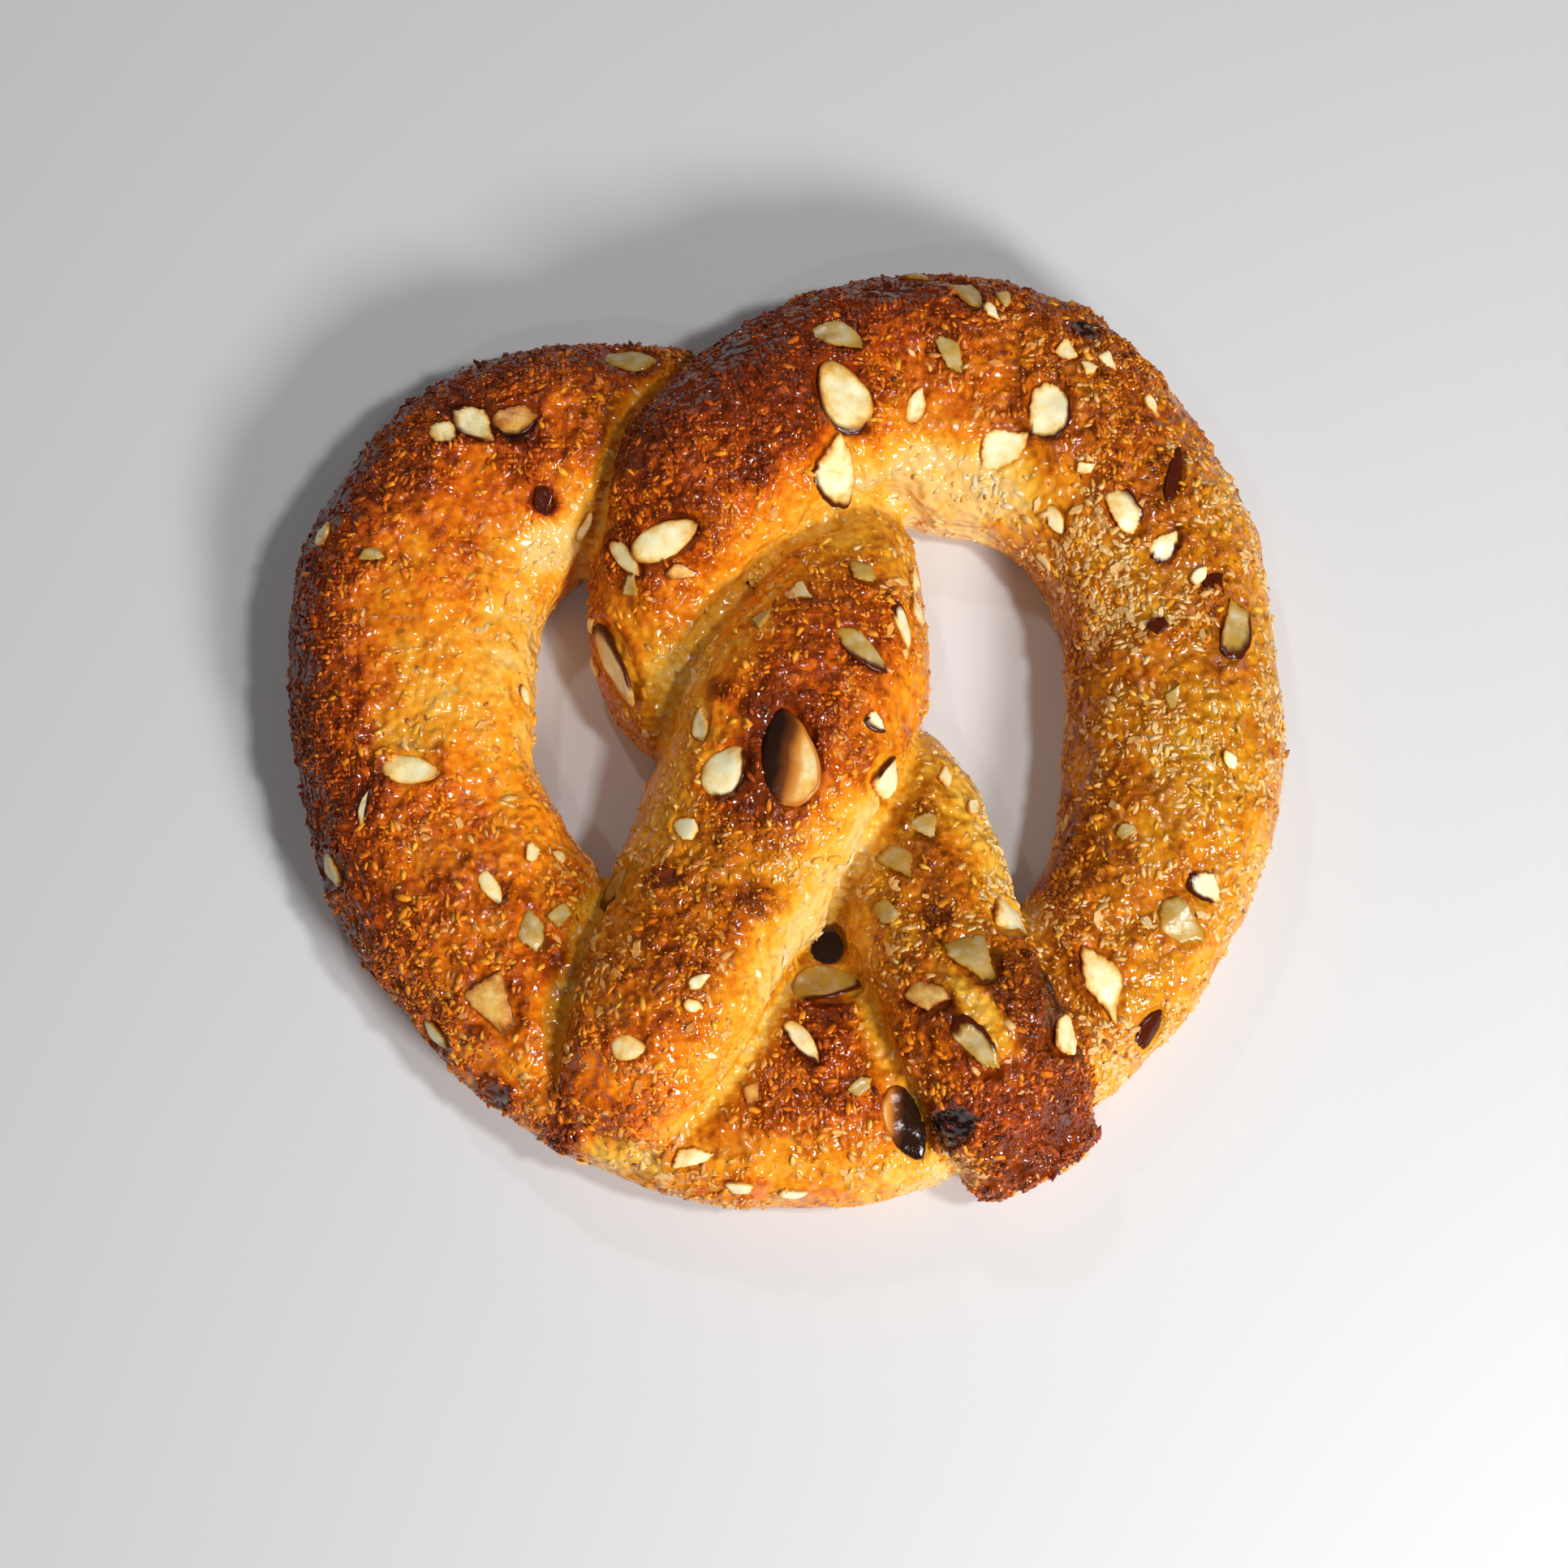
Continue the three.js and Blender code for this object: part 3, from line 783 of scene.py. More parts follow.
@dataclass
class Dough:
    """The baked dough: the rope joined into one skin, with its lumps, granules, folds and colours."""

    rope: Rope
    bed: FlakeBed
    oven: Oven = Oven()
    voxel: float = 0.92
    smooth_rounds: int = 3
    crease_rounds: int = 16
    crease_gain: float = 3.2
    crease_spread: int = 10
    groove_start: float = 0.04
    groove_limit: float = 0.6
    groove_rounds: int = 4
    groove_base: Step = (1.0, 4.0)
    crease_field: Step = (0.03, 0.30)
    lump_size: float = 17.0
    lump_height: float = 1.0
    blister_size: float = 5.6
    blister_height: float = 0.62
    grain_size: float = 2.6
    grain_height: float = 0.7
    fine_size: float = 2.2
    fine_height: float = 0.3
    fold_wander: float = 0.8
    fold_slope: Step = (0.2, 0.6)
    pocket_depth: float = 0.45
    pocket_edge: Step = (1.15, 0.85)
    pool_height: float = 0.35
    pool_outside: Step = (1.6, 1.15)
    pool_inside: Step = (0.9, 1.1)
    quiet_base: float = 2.5

    def build(self) -> bpy.types.Object:
        """Joins, displaces and colours the skin.

        Returns:
            The finished dough.
        """
        skin = self.joined_skin()
        crease = self.sharpen_creases(skin)
        points, normals = vertices_of(skin.data), normals_of(skin.data)
        place = self.rope.places(points)
        attributes = self.colour_fields(points, normals, place, crease)
        moved = points + normals * self.relief(points, normals, attributes)[:, None]
        moved[:, 2] = np.maximum(moved[:, 2], 0)
        add_attributes(skin.data, attributes)
        move_vertices(skin.data, moved)
        return skin

    def joined_skin(self) -> bpy.types.Object:
        """All stretches as one even skin, cut flat at the tray.

        Returns:
            The undisplaced dough.
        """
        points, quads, caps, offset = [], [], [], 0
        for first, last in zip(STRETCH_ENDS, STRETCH_ENDS[1:]):
            stretch_points, stretch_quads, stretch_caps = self.rope.stretch(first, last)
            points.append(stretch_points)
            quads.append(stretch_quads + offset)
            caps.append(stretch_caps + offset)
            offset += len(stretch_points)
        faces = np.vstack([as_triangles(np.vstack(quads)), *caps])
        rough = new_mesh_object("dough", np.vstack(points), faces)
        remesh = rough.modifiers.new("even_skin", "REMESH")
        remesh.mode = "VOXEL"
        remesh.voxel_size = self.voxel * MM
        soften = rough.modifiers.new("soften", "SMOOTH")
        soften.factor = 0.5
        soften.iterations = self.smooth_rounds
        graph = bpy.context.evaluated_depsgraph_get()
        even = bpy.data.meshes.new_from_object(rough.evaluated_get(graph))
        rough.modifiers.clear()
        rough.data = even
        heights = vertices_of(even)
        heights[:, 2] = np.maximum(heights[:, 2], 0)
        even.polygons.foreach_set("use_smooth", np.full(len(even.polygons), True))
        move_vertices(even, heights)
        return rough

    def sharpen_creases(self, skin: bpy.types.Object) -> Array:
        """Deepens the grooves where the rope lies on itself.

        The skin is blurred by averaging neighbours; where it then stands outside the original, it is a
        groove, and the original moves further in by crease_gain times that height.

        Args:
            skin: The joined skin, which is changed.

        Returns:
            How far each point is inside a crease or beside one, from 0 to 1.
        """
        points, normals = vertices_of(skin.data), normals_of(skin.data)
        flat = np.empty(len(skin.data.edges) * 2, np.int32)
        skin.data.edges.foreach_get("vertices", flat)
        one, two = flat.reshape(-1, 2).T
        count = np.bincount(flat, minlength=len(points))[:, None]

        def blur(values: Array, rounds: int) -> Array:
            """Values averaged over each point's neighbours, again and again."""
            for _ in range(rounds):
                total = np.stack([
                    np.bincount(one, column[two], len(points)) + np.bincount(two, column[one], len(points))
                    for column in values.T
                ], axis=1)
                values = total / count
            return values

        blurred = blur(points, self.crease_rounds)
        groove = ((blurred - points) * normals).sum(axis=1)
        depth = self.crease_gain * np.clip(groove - self.groove_start, 0, self.groove_limit)
        depth = depth * ease_between(*self.groove_base, points[:, 2])
        depth = blur(depth[:, None], self.groove_rounds)[:, 0]
        move_vertices(skin.data, points - normals * depth[:, None])
        spread = blur(np.maximum(groove, 0)[:, None], self.crease_spread)[:, 0]
        return ease_between(*self.crease_field, spread)

    def with_spots(self, points: Array, bake: Array, patchy: Array) -> tuple[Array, Array]:
        """Adds the spots to the bake, each eased from its oval's edge to its middle.

        Args:
            points: Skin points in millimetres.
            bake: How far each point baked so far.
            patchy: Noise that makes the ovals uneven.

        Returns:
            The changed bake, and how pale the bare spots leave each point.
        """
        oven, pale = self.oven, np.zeros(len(points))
        wobble = 1 + oven.spot_wobble * patchy
        above = ease_between(*oven.spot_base, points[:, 2])
        for spot in SPOTS:
            along, across = along_and_across(points[:, :2] - (spot.x, spot.y), spot.turn)
            reach = ease_between(*oven.spot_edge, np.hypot(along / spot.long, across / spot.short) * wobble)
            change = spot.change * reach * above
            bake = bake + change
            pale = np.maximum(pale, -oven.spot_pallor * change)
        return bake, pale

    def colour_fields(
        self, points: Array, normals: Array, place: dict[str, Array], crease: Array
    ) -> dict[str, Array]:
        """How far the crust baked at each point, how red it is, how granular and how glazed.

        The bake runs from the station's left value over its crown value to its right value, by the
        place across the rope; spots, noise, creases and the bare rim near the tray change it.

        Args:
            points: Skin points in millimetres.
            normals: Skin normals.
            place: What Rope.places says of the points.
            crease: How near each point is to a crease, where the dough stays pale.

        Returns:
            "bake", "warmth", "grit" and "glaze", each of shape (n,) and from 0 to 1, and
            "flake_edge", which is 1 on the outline of the nearest flake.
        """
        oven, height, near = self.oven, points[:, 2], self.bed.nearness(points)
        row, side = place["row"], place["side"]
        left, crown, right = row[:, LEFT], row[:, CROWN], row[:, RIGHT]
        broad = fractal_noise(points, oven.broad_size, 3, Seed.BROAD)
        patchy = fractal_noise(points, oven.patch_size, 3, Seed.PATCHY)
        edge = np.where(side < 0, left, right)
        bake = crown + (edge - crown) * ease_between(*oven.shoulder, np.abs(side))
        bake += oven.mottle * broad + oven.mottle * patchy
        bake, pale = self.with_spots(points, bake, patchy)
        bake += oven.deepening * ease_between(*oven.deepened, bake)
        hidden = crease * ease_between(*oven.crease_base, height) * (0.8 + 0.5 * broad)
        bake = bake * (1 - oven.crease_shade * hidden) + oven.crease_bake * hidden
        pool = ease_between(*oven.pool_outside, near) * ease_between(*oven.pool_inside, near)
        bake += oven.pool_bake * pool
        near_side = ease_between(*oven.near_side, points[:, 1] - oven.near_slant * points[:, 0])
        rim_height = oven.rim_height + oven.near_rim_height * near_side
        rim = ease_between(1.0, 0.0, (height + oven.rim_wave * broad) / rim_height)
        bake = bake * (1 - oven.rim_shade * rim) + oven.rim_bake * rim
        bake -= oven.tray_shade * ease_between(*oven.tray_base, height) * ease_between(*oven.dark, bake)
        under = ease_between(*oven.under, normals[:, 2])
        bake = bake * (1 - under) + oven.under_bake * under
        syrup = ease_between(*oven.syrup, bake)
        grit = oven.grit_everywhere + oven.grit_gain * ease_between(*oven.gritty, bake)
        grit = grit + oven.grit_patches * patchy
        grit *= 1 - 0.75 * ease_between(*oven.bare, bake)
        grit *= 1 - 0.85 * rim
        grit *= ease_between(*oven.grit_edge, near) * (1 - 0.6 * hidden)
        grit *= 1 - 0.6 * syrup
        glaze = (0.55 + 0.45 * ease_between(*oven.glaze_cloud, broad)) * (1 - 0.9 * rim) * (1 - under)
        glaze *= 0.25 + 0.75 * ease_between(*oven.glaze_slope, normals[:, 2])
        glaze = np.maximum(glaze, 0.95 * np.maximum(pool, syrup))
        red = (row[:, WARMTH] + 0.25 * broad) * (1 - 0.7 * hidden) * (1 - np.clip(pale, 0, 0.9))
        fields = {"bake": bake, "warmth": red, "grit": grit, "glaze": glaze}
        fields = {name: np.clip(values, 0, 1) for name, values in fields.items()}
        return {**fields, "flake_edge": near}

    def relief(self, points: Array, normals: Array, attributes: dict[str, Array]) -> Array:
        """How far each point moves out of the skin, in millimetres.

        Broad lumps, blisters and grains are added, folds are cut as bells across their lines, and the
        crust sinks under each flake and swells in a ring of glaze round it. All fade at the tray.

        Args:
            points: Skin points in millimetres.
            normals: Skin normals.
            attributes: The colour fields.

        Returns:
            Heights of shape (n,).
        """
        grit, near = attributes["grit"], attributes["flake_edge"]
        lumps = self.lump_height * fractal_noise(points, self.lump_size, 2, Seed.LUMPS)
        blisters = self.blister_height * fractal_noise(points, self.blister_size, 2, Seed.BLISTERS)
        grains, owner = grain_noise(points, self.grain_size, Seed.GRAINS)
        grains = grains * (0.35 + 0.65 * owner) * self.grain_height * grit
        fine = self.fine_height * fractal_noise(points, self.fine_size, 1, Seed.FINE)
        fine = fine * (0.1 + 0.9 * grit)
        height = lumps + blisters + grains + fine
        upward = ease_between(*self.fold_slope, normals[:, 2])
        for fold in FOLDS:
            start, end = np.array(fold.start), np.array(fold.end)
            line = end - start
            share = np.clip(((points[:, :2] - start) @ line) / (line @ line), 0, 1)
            foot = start + share[:, None] * line
            apart = np.linalg.norm(points[:, :2] - foot, axis=1) + self.fold_wander * blisters
            ends = np.sin(np.pi * np.clip(share, 0.04, 0.96)) ** 0.5
            height -= fold.depth * np.exp(-((apart / fold.half_width) ** 2)) * ends * upward
        height -= self.pocket_depth * ease_between(*self.pocket_edge, near)
        pool = ease_between(*self.pool_outside, near)
        height += self.pool_height * pool * ease_between(*self.pool_inside, near)
        return height * ease_between(0.2, self.quiet_base, points[:, 2])


# ------------------------------------------------------------------------------------ shader nodes


class Val:
    """A shader value. Arithmetic on it adds Math nodes."""

    def __init__(self, graph: "Graph", socket: bpy.types.NodeSocket) -> None:
        """Keeps the graph that the value belongs to and the socket that it comes out of."""
        self.graph = graph
        self.socket = socket

    def math(self, operation: str, *others: Any) -> "Val":
        """One Math node on this value and others."""
        inputs = {place: value for place, value in enumerate((self, *others))}
        return self.graph.node("ShaderNodeMath", {"operation": operation}, inputs)

    def __add__(self, other: Any) -> "Val":
        """This plus other."""
        return self.math("ADD", other)

    def __sub__(self, other: Any) -> "Val":
        """This minus other."""
        return self.math("SUBTRACT", other)

    def __mul__(self, other: Any) -> "Val":
        """This times other."""
        return self.math("MULTIPLY", other)

    def __radd__(self, other: float) -> "Val":
        """other plus this."""
        return self + other

    def __rmul__(self, other: float) -> "Val":
        """other times this."""
        return self * other

    def __rsub__(self, other: float) -> "Val":
        """other minus this."""
        return self * -1.0 + other

    def clamp(self) -> "Val":
        """This, kept from 0 to 1."""
        return self.math("MAXIMUM", 0.0).math("MINIMUM", 1.0)

    def between(self, low: float, high: float) -> "Val":
        """0 at low and 1 at high, eased. low may be the larger."""
        return self.graph.node(
            "ShaderNodeMapRange",
            {"interpolation_type": "SMOOTHSTEP"},
            {"Value": self, "From Min": low, "From Max": high},
        )


class Graph:
    """A material's node tree."""

    def __init__(self, name: str) -> None:
        """Makes an empty node material."""
        self.material = bpy.data.materials.new(name)
        self.material.use_nodes = True
        self.tree = self.material.node_tree
        self.tree.nodes.clear()

    def node(
        self, kind: str, settings: dict[str, Any], inputs: dict[Any, Any], output: int | str = 0
    ) -> Val:
        """Adds a node: its settings first, then the values or links of its sockets.

        Args:
            kind: The node's type.
            settings: Properties by name; "stops" is a ramp's list of (place, colour).
            inputs: Numbers, colours or values by socket name or index.
            output: The socket to read.

        Returns:
            The value of that output.
        """
        node = self.tree.nodes.new(kind)
        for key, setting in settings.items():
            if key == "stops":
                self.set_stops(node.color_ramp, setting)
            else:
                setattr(node, key, setting)
        for key, value in inputs.items():
            if isinstance(value, Val):
                self.tree.links.new(value.socket, node.inputs[key])
            else:
                node.inputs[key].default_value = value
        return Val(self, node.outputs[output])

    @staticmethod
    def set_stops(ramp: bpy.types.ColorRamp, stops: Sequence[tuple[float, tuple]]) -> None:
        """Gives a ramp its stops, as (place, (red, green, blue))."""
        while len(ramp.elements) < len(stops):
            ramp.elements.new(1.0)
        for element, (place, colour) in zip(ramp.elements, stops):
            element.position = place
            element.color = (*colour, 1.0)

    def attribute(self, name: str) -> Val:
        """The number that the mesh keeps under this name."""
        return self.node("ShaderNodeAttribute", {"attribute_name": name}, {}, "Fac")

    def place(self) -> Val:
        """Object coordinates, in metres."""
        return self.node("ShaderNodeTexCoord", {}, {}, "Object")

    def noise(self, size: float, detail: float = 3.0, roughness: float = 0.55) -> Val:
        """Noise from 0 to 1 whose features are about size millimetres wide."""
        return self.node(
            "ShaderNodeTexNoise",
            {},
            {"Vector": self.place(), "Scale": 1 / (size * MM), "Detail": detail,
             "Roughness": roughness},
        )

    def cells(self, size: float, output: str = "Distance") -> Val:
        """Voronoi cells about size millimetres wide: distance from each cell's point, or its colour."""
        return self.node(
            "ShaderNodeTexVoronoi", {}, {"Vector": self.place(), "Scale": 1 / (size * MM)}, output
        )

    def red_of(self, colour: Val) -> Val:
        """The red part of a colour."""
        return self.node("ShaderNodeSeparateColor", {}, {"Color": colour}, "Red")

    def ramp(self, value: Val, stops: Sequence[tuple[float, tuple]]) -> Val:
        """The colour at value along a ramp of stops."""
        return self.node("ShaderNodeValToRGB", {"stops": stops}, {"Fac": value}, "Color")

    def mix(self, share: Any, first: Any, second: Any) -> Val:
        """first turned into second by share, as colours."""
        first, second = (c if isinstance(c, Val) else (*c, 1.0) for c in (first, second))
        return self.node(
            "ShaderNodeMix",
            {"data_type": "RGBA"},
            {0: share, 6: first, 7: second},
            2,
        )

    def bump(self, height: Val, depth: float, strength: float) -> Val:
        """A normal from a height, which counts as depth millimetres."""
        return self.node(
            "ShaderNodeBump",
            {},
            {"Height": height, "Distance": depth * MM, "Strength": strength},
        )

    def surface(self, **sockets: Any) -> bpy.types.Material:
        """Ends the tree in a Principled shader with these sockets, spaces written as underscores."""
        inputs = {name.replace("_", " "): value for name, value in sockets.items()}
        shader = self.node("ShaderNodeBsdfPrincipled", {}, inputs)
        end = self.tree.nodes.new("ShaderNodeOutputMaterial")
        self.tree.links.new(shader.socket, end.inputs["Surface"])
        return self.material


# ------------------------------------------------------------------------------------ finishes

# Baked sugar and dough from bare to burnt, as (how far it baked, colour).
OLIVE_BAKE = [
    (0.00, (0.88, 0.58, 0.20)), (0.16, (0.86, 0.48, 0.06)), (0.34, (0.68, 0.30, 0.012)),
    (0.50, (0.46, 0.155, 0.004)), (0.66, (0.24, 0.062, 0.003)), (0.82, (0.10, 0.022, 0.003)),
    (1.00, (0.012, 0.005, 0.003)),
]
RED_BAKE = [
    (0.00, (0.90, 0.55, 0.16)), (0.16, (0.95, 0.43, 0.035)), (0.34, (0.93, 0.29, 0.010)),
    (0.50, (0.74, 0.140, 0.004)), (0.66, (0.36, 0.046, 0.003)), (0.82, (0.14, 0.018, 0.003)),
    (1.00, (0.014, 0.004, 0.003)),
]
NUT_BAKE = [
    (0.00, (0.86, 0.68, 0.42)), (0.30, (0.76, 0.48, 0.18)), (0.55, (0.56, 0.24, 0.04)),
    (0.80, (0.20, 0.045, 0.008)), (1.00, (0.03, 0.008, 0.004)),
]


@dataclass(frozen=True)
class CrustFinish:
    """Baked, glazed crust whose colour follows how far it baked, with granules set in the glaze."""

    name: str = "baked_crust"
    blotch_size: float = 3.4
    fleck_size: float = 1.1
    broad_size: float = 9.0
    granule_size: float = 1.5
    grit_size: float = 0.75
    ripple_size: float = 3.6
    glint_size: float = 1.6
    bump_depth: float = 0.95
    blotch_strength: float = 0.54
    fleck_strength: float = 0.36
    red_strength: float = 0.9
    roughness: float = 0.29
    polish: float = 0.26

    def material(self) -> bpy.types.Material:
        """Builds the crust's material.

        Returns:
            A material that reads the attributes bake, warmth, grit and glaze.
        """
        g = Graph(self.name)
        bake, warmth = g.attribute("bake"), g.attribute("warmth")
        grit, glaze = g.attribute("grit"), g.attribute("glaze")
        blotch = g.noise(self.blotch_size, 3.0, 0.6)
        fleck = g.noise(self.fleck_size, 3.0, 0.6)
        broad = g.noise(self.broad_size, 2.0)
        granule = g.red_of(g.cells(self.granule_size, "Color"))
        dome = g.cells(self.granule_size)
        speck = g.cells(self.grit_size)
        tone = (
            bake
            + (blotch - 0.5) * self.blotch_strength
            + (fleck - 0.5) * self.fleck_strength
            + (granule - 0.5) * (0.05 + 0.18 * grit)
            - dome.between(0.45, 0.05) * 0.05 * grit
        ).clamp().math("MINIMUM", 0.78 + 0.22 * bake.between(0.84, 1.0))
        red = (warmth + (broad - 0.5) * self.red_strength).clamp()
        colour = g.mix(red, g.ramp(tone, OLIVE_BAKE), g.ramp(tone, RED_BAKE))
        height = (
            (1.0 - dome) * (0.02 + 0.45 * grit * grit)
            + (1.0 - speck) * 0.05 * grit * grit
            + g.noise(self.ripple_size, 1.0, 0.35) * (1.0 + 1.3 * grit)
            + g.noise(self.glint_size, 0.0) * (0.85 + 0.5 * grit)
        )
        return g.surface(
            Base_Color=colour,
            Roughness=(self.roughness - glaze * self.polish + (blotch - 0.5) * 0.05).clamp(),
            IOR=1.42,
            Subsurface_Weight=0.36,
            Subsurface_Radius=(1.0, 0.40, 0.08),
            Subsurface_Scale=0.0028,
            Normal=g.bump(height, self.bump_depth, 1.0),
        )


@dataclass(frozen=True)
class AlmondFinish:
    """Almond flesh with brown skin at its rim, toasted or burnt in places and partly under glaze."""

    name: str = "almond"
    cloud_size: float = 2.4
    grain_size: float = 0.5

    def material(self) -> bpy.types.Material:
        """Builds the almond's material.

        Returns:
            A material that reads the attributes skin, toast, burn and glazed.
        """
        g = Graph(self.name)
        skin, toast = g.attribute("skin"), g.attribute("toast")
        burn, glazed = g.attribute("burn"), g.attribute("glazed")
        cloud = g.noise(self.cloud_size, 3.0)
        grain = g.noise(self.grain_size, 3.0, 0.6)
        golden = (toast + (cloud - 0.43) * 0.95 + (grain - 0.5) * 0.22).clamp()
        flesh = g.ramp(golden, [
            (0.0, (1.0, 0.89, 0.60)), (0.22, (0.98, 0.77, 0.38)), (0.45, (0.88, 0.50, 0.12)),
            (0.75, (0.56, 0.19, 0.028)), (1.0, (0.20, 0.05, 0.010)),
        ])
        amber = g.mix(cloud.between(0.3, 0.7), (0.20, 0.09, 0.004), (0.46, 0.27, 0.035))
        colour = g.mix((glazed * (0.3 + 1.4 * cloud) - 0.12).clamp(), flesh, amber)
        char = (burn * 1.2 + (cloud - 0.5) * 0.3 * burn).clamp()
        colour = g.mix(char.between(0.0, 0.2), colour, g.ramp(char, [
            (0.0, (0.90, 0.48, 0.12)), (0.3, (0.62, 0.22, 0.03)), (0.6, (0.16, 0.040, 0.008)),
            (1.0, (0.022, 0.008, 0.004)),
        ]))
        colour = g.mix(skin, colour, g.mix(grain, (0.020, 0.003, 0.002), (0.13, 0.018, 0.004)))
        return g.surface(
            Base_Color=colour,
            Roughness=(0.26 + (grain - 0.5) * 0.16 - glazed * 0.16 - skin * 0.14 - burn * 0.14).clamp(),
            IOR=1.40,
            Specular_IOR_Level=0.4,
            Subsurface_Weight=0.22,
            Subsurface_Radius=(1.0, 0.6, 0.25),
            Subsurface_Scale=0.0016,
            Normal=g.bump(cloud * 0.8 + grain * 0.4, 0.2, 0.6),
        )


@dataclass(frozen=True)
class CrumbFinish:
    """Crumbs and grit of sugar, nut and dough, each with a tone of its own, under the same glaze."""

    name: str
    roughness: float = 0.13
    depth: float = 0.15
    nut: bool = False
    fleck_size: float = 0.7

    def material(self) -> bpy.types.Material:
        """Builds the crumbs' material.

        Returns:
            A material that reads the attributes bake and warmth.
        """
        g = Graph(self.name)
        fleck = g.noise(self.fleck_size, 3.0)
        tone = (g.attribute("bake") + (fleck - 0.5) * 0.3).clamp()
        first = NUT_BAKE if self.nut else OLIVE_BAKE
        colour = g.mix(g.attribute("warmth"), g.ramp(tone, first), g.ramp(tone, RED_BAKE))
        return g.surface(
            Base_Color=colour,
            Roughness=self.roughness,
            IOR=1.40,
            Subsurface_Weight=0.15,
            Subsurface_Radius=(1.0, 0.4, 0.1),
            Subsurface_Scale=0.0012,
            Normal=g.bump(fleck, self.depth, 0.6),
        )


@dataclass(frozen=True)
class FloorFinish:
    """Plain pale matt floor."""

    name: str = "pale_floor"
    colour: tuple[float, float, float] = (0.66, 0.67, 0.69)

    def material(self) -> bpy.types.Material:
        """Builds the floor's material."""
        return Graph(self.name).surface(Base_Color=(*self.colour, 1.0), Roughness=0.6)


# ------------------------------------------------------------------------------------ flakes as pieces


@dataclass
class FlakedAlmonds:
    """The flaked almonds: thin curved slabs laid on the crust."""

    crust: bpy.types.Object
    bed: FlakeBed
    around: int = 64
    thickness: float = 0.9
    sunk: float = 0.5
    skin_width: float = 0.75
    ray_height: float = 60.0
    seek_above: float = 8.0
    seek_below: float = 7.0
    probe_share: float = 0.35
    lift_base: float = 0.25
    lift_share: float = 0.02
    torn_reach: float = 1.14
    whole_reach: float = 1.02
    torn_waves: float = 0.045
    whole_waves: float = 0.018
    cut_reach: Step = (0.66, 0.98)
    least_facing: float = 0.05
    rim_levels: Step = (0.86, 0.93)
    burn_edge: Step = (-0.42, 0.42)
    ripple_size: float = 2.6
    ripple_height: float = 0.14
    mottle_size: float = 3.0
    levels: tuple[float, ...] = (0.0, 0.3, 0.55, 0.75, 0.87, 0.93, 0.97, 1.0)

    def build(self, material: bpy.types.Material) -> list[bpy.types.Object]:
        """Makes every flake in its place, standing for its node.

        Args:
            material: The almond's finish.

        Returns:
            The flakes.
        """
        tree = BVHTree.FromObject(self.crust, bpy.context.evaluated_depsgraph_get())
        flakes = []
        for number, (spec, centre, node) in enumerate(zip(FLAKES, self.bed.centres, FLAKE_NODES)):
            rng = np.random.default_rng(Seed.FLAKES + number)
            points, faces, attributes = self.shape(spec, rng)
            seat = self.seat(tree, spec, centre)
            placed = points @ seat[:3, :3].T + seat[:3, 3]
            flake = new_mesh_object(f"flake_{number + 1:02d}", placed, faces, attributes)
            flake.data.materials.append(material)
            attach(flake, BODY)
            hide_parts(node)
            flakes.append(flake)
        return [*flakes, self.bits(tree, material)]

    def bits(self, tree: BVHTree, material: bpy.types.Material) -> bpy.types.Object:
        """Lays the small loose bits on the crust, all in one object.

        Args:
            tree: The crust, for rays from above.
            material: The almond's finish.

        Returns:
            The bits.
        """
        points, faces, attributes, offset = [], [], [], 0
        for number, bit in enumerate(BITS):
            top = tree.ray_cast(Vector((bit.x, bit.y, self.ray_height)) * MM, Vector((0, 0, -1)))[0]
            rng = np.random.default_rng(Seed.BITS + number)
            local, own_faces, own_attributes = self.shape(bit.spec, rng)
            seat = self.seat(tree, bit.spec, np.array((bit.x, bit.y, top.z / MM)))
            points.append(local @ seat[:3, :3].T + seat[:3, 3])
            faces.append(own_faces + offset)
            attributes.append(own_attributes)
            offset += len(local)
        joined = {key: np.concatenate([one[key] for one in attributes]) for key in attributes[0]}
        piece = new_mesh_object("flake_bits", np.vstack(points), np.vstack(faces), joined)
        piece.data.materials.append(material)
        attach(piece, BODY)
        return piece

    def outline(self, spec: FlakeSpec, turn: Array, rng: np.random.Generator) -> Array:
        """The flake's reach from its middle in each direction, as a share of its full oval.

        The reach falls short where a break crosses the oval, and waves a little everywhere.

        Args:
            spec: The flake.
            turn: Directions in the flake's own plane.
            rng: Source of its chance details.

        Returns:
            Shares of shape (around,).
        """
        phase = rng.uniform(0, 2 * np.pi, 5)
        torn = spec.look in (Look.BROKEN, Look.GLAZED, Look.TOASTED)
        rough = self.torn_waves if torn else self.whole_waves
        waves = sum(
            rough * np.sin(order * turn + phase[place]) / (place + 1) ** 0.5
            for place, order in enumerate((2, 3, 5, 9, 14))
        )
        reach = (self.torn_reach if torn else self.whole_reach) + waves
        breaks = int(rng.integers(3, 6)) if torn else {Look.SLIVER: 2, Look.SKIN: 2}.get(spec.look, 0)
        first = rng.uniform(0, 2 * np.pi)
        for place in range(breaks):
            facing = first + 2 * np.pi * place / breaks + rng.uniform(-0.5, 0.5)
            if spec.skin is not None:
                facing = math.radians(spec.skin - spec.turn) + np.pi + rng.uniform(-1.5, 1.5)
            cut = rng.uniform(*self.cut_reach)
            towards = np.cos(turn - facing)
            nick = 1 + 0.030 * np.sin(11 * turn + phase[0]) + 0.025 * np.sin(19 * turn + phase[1])
            limit = cut * nick / np.maximum(towards, self.least_facing)
            reach = np.where(towards > self.least_facing, np.minimum(reach, limit), reach)
        return reach

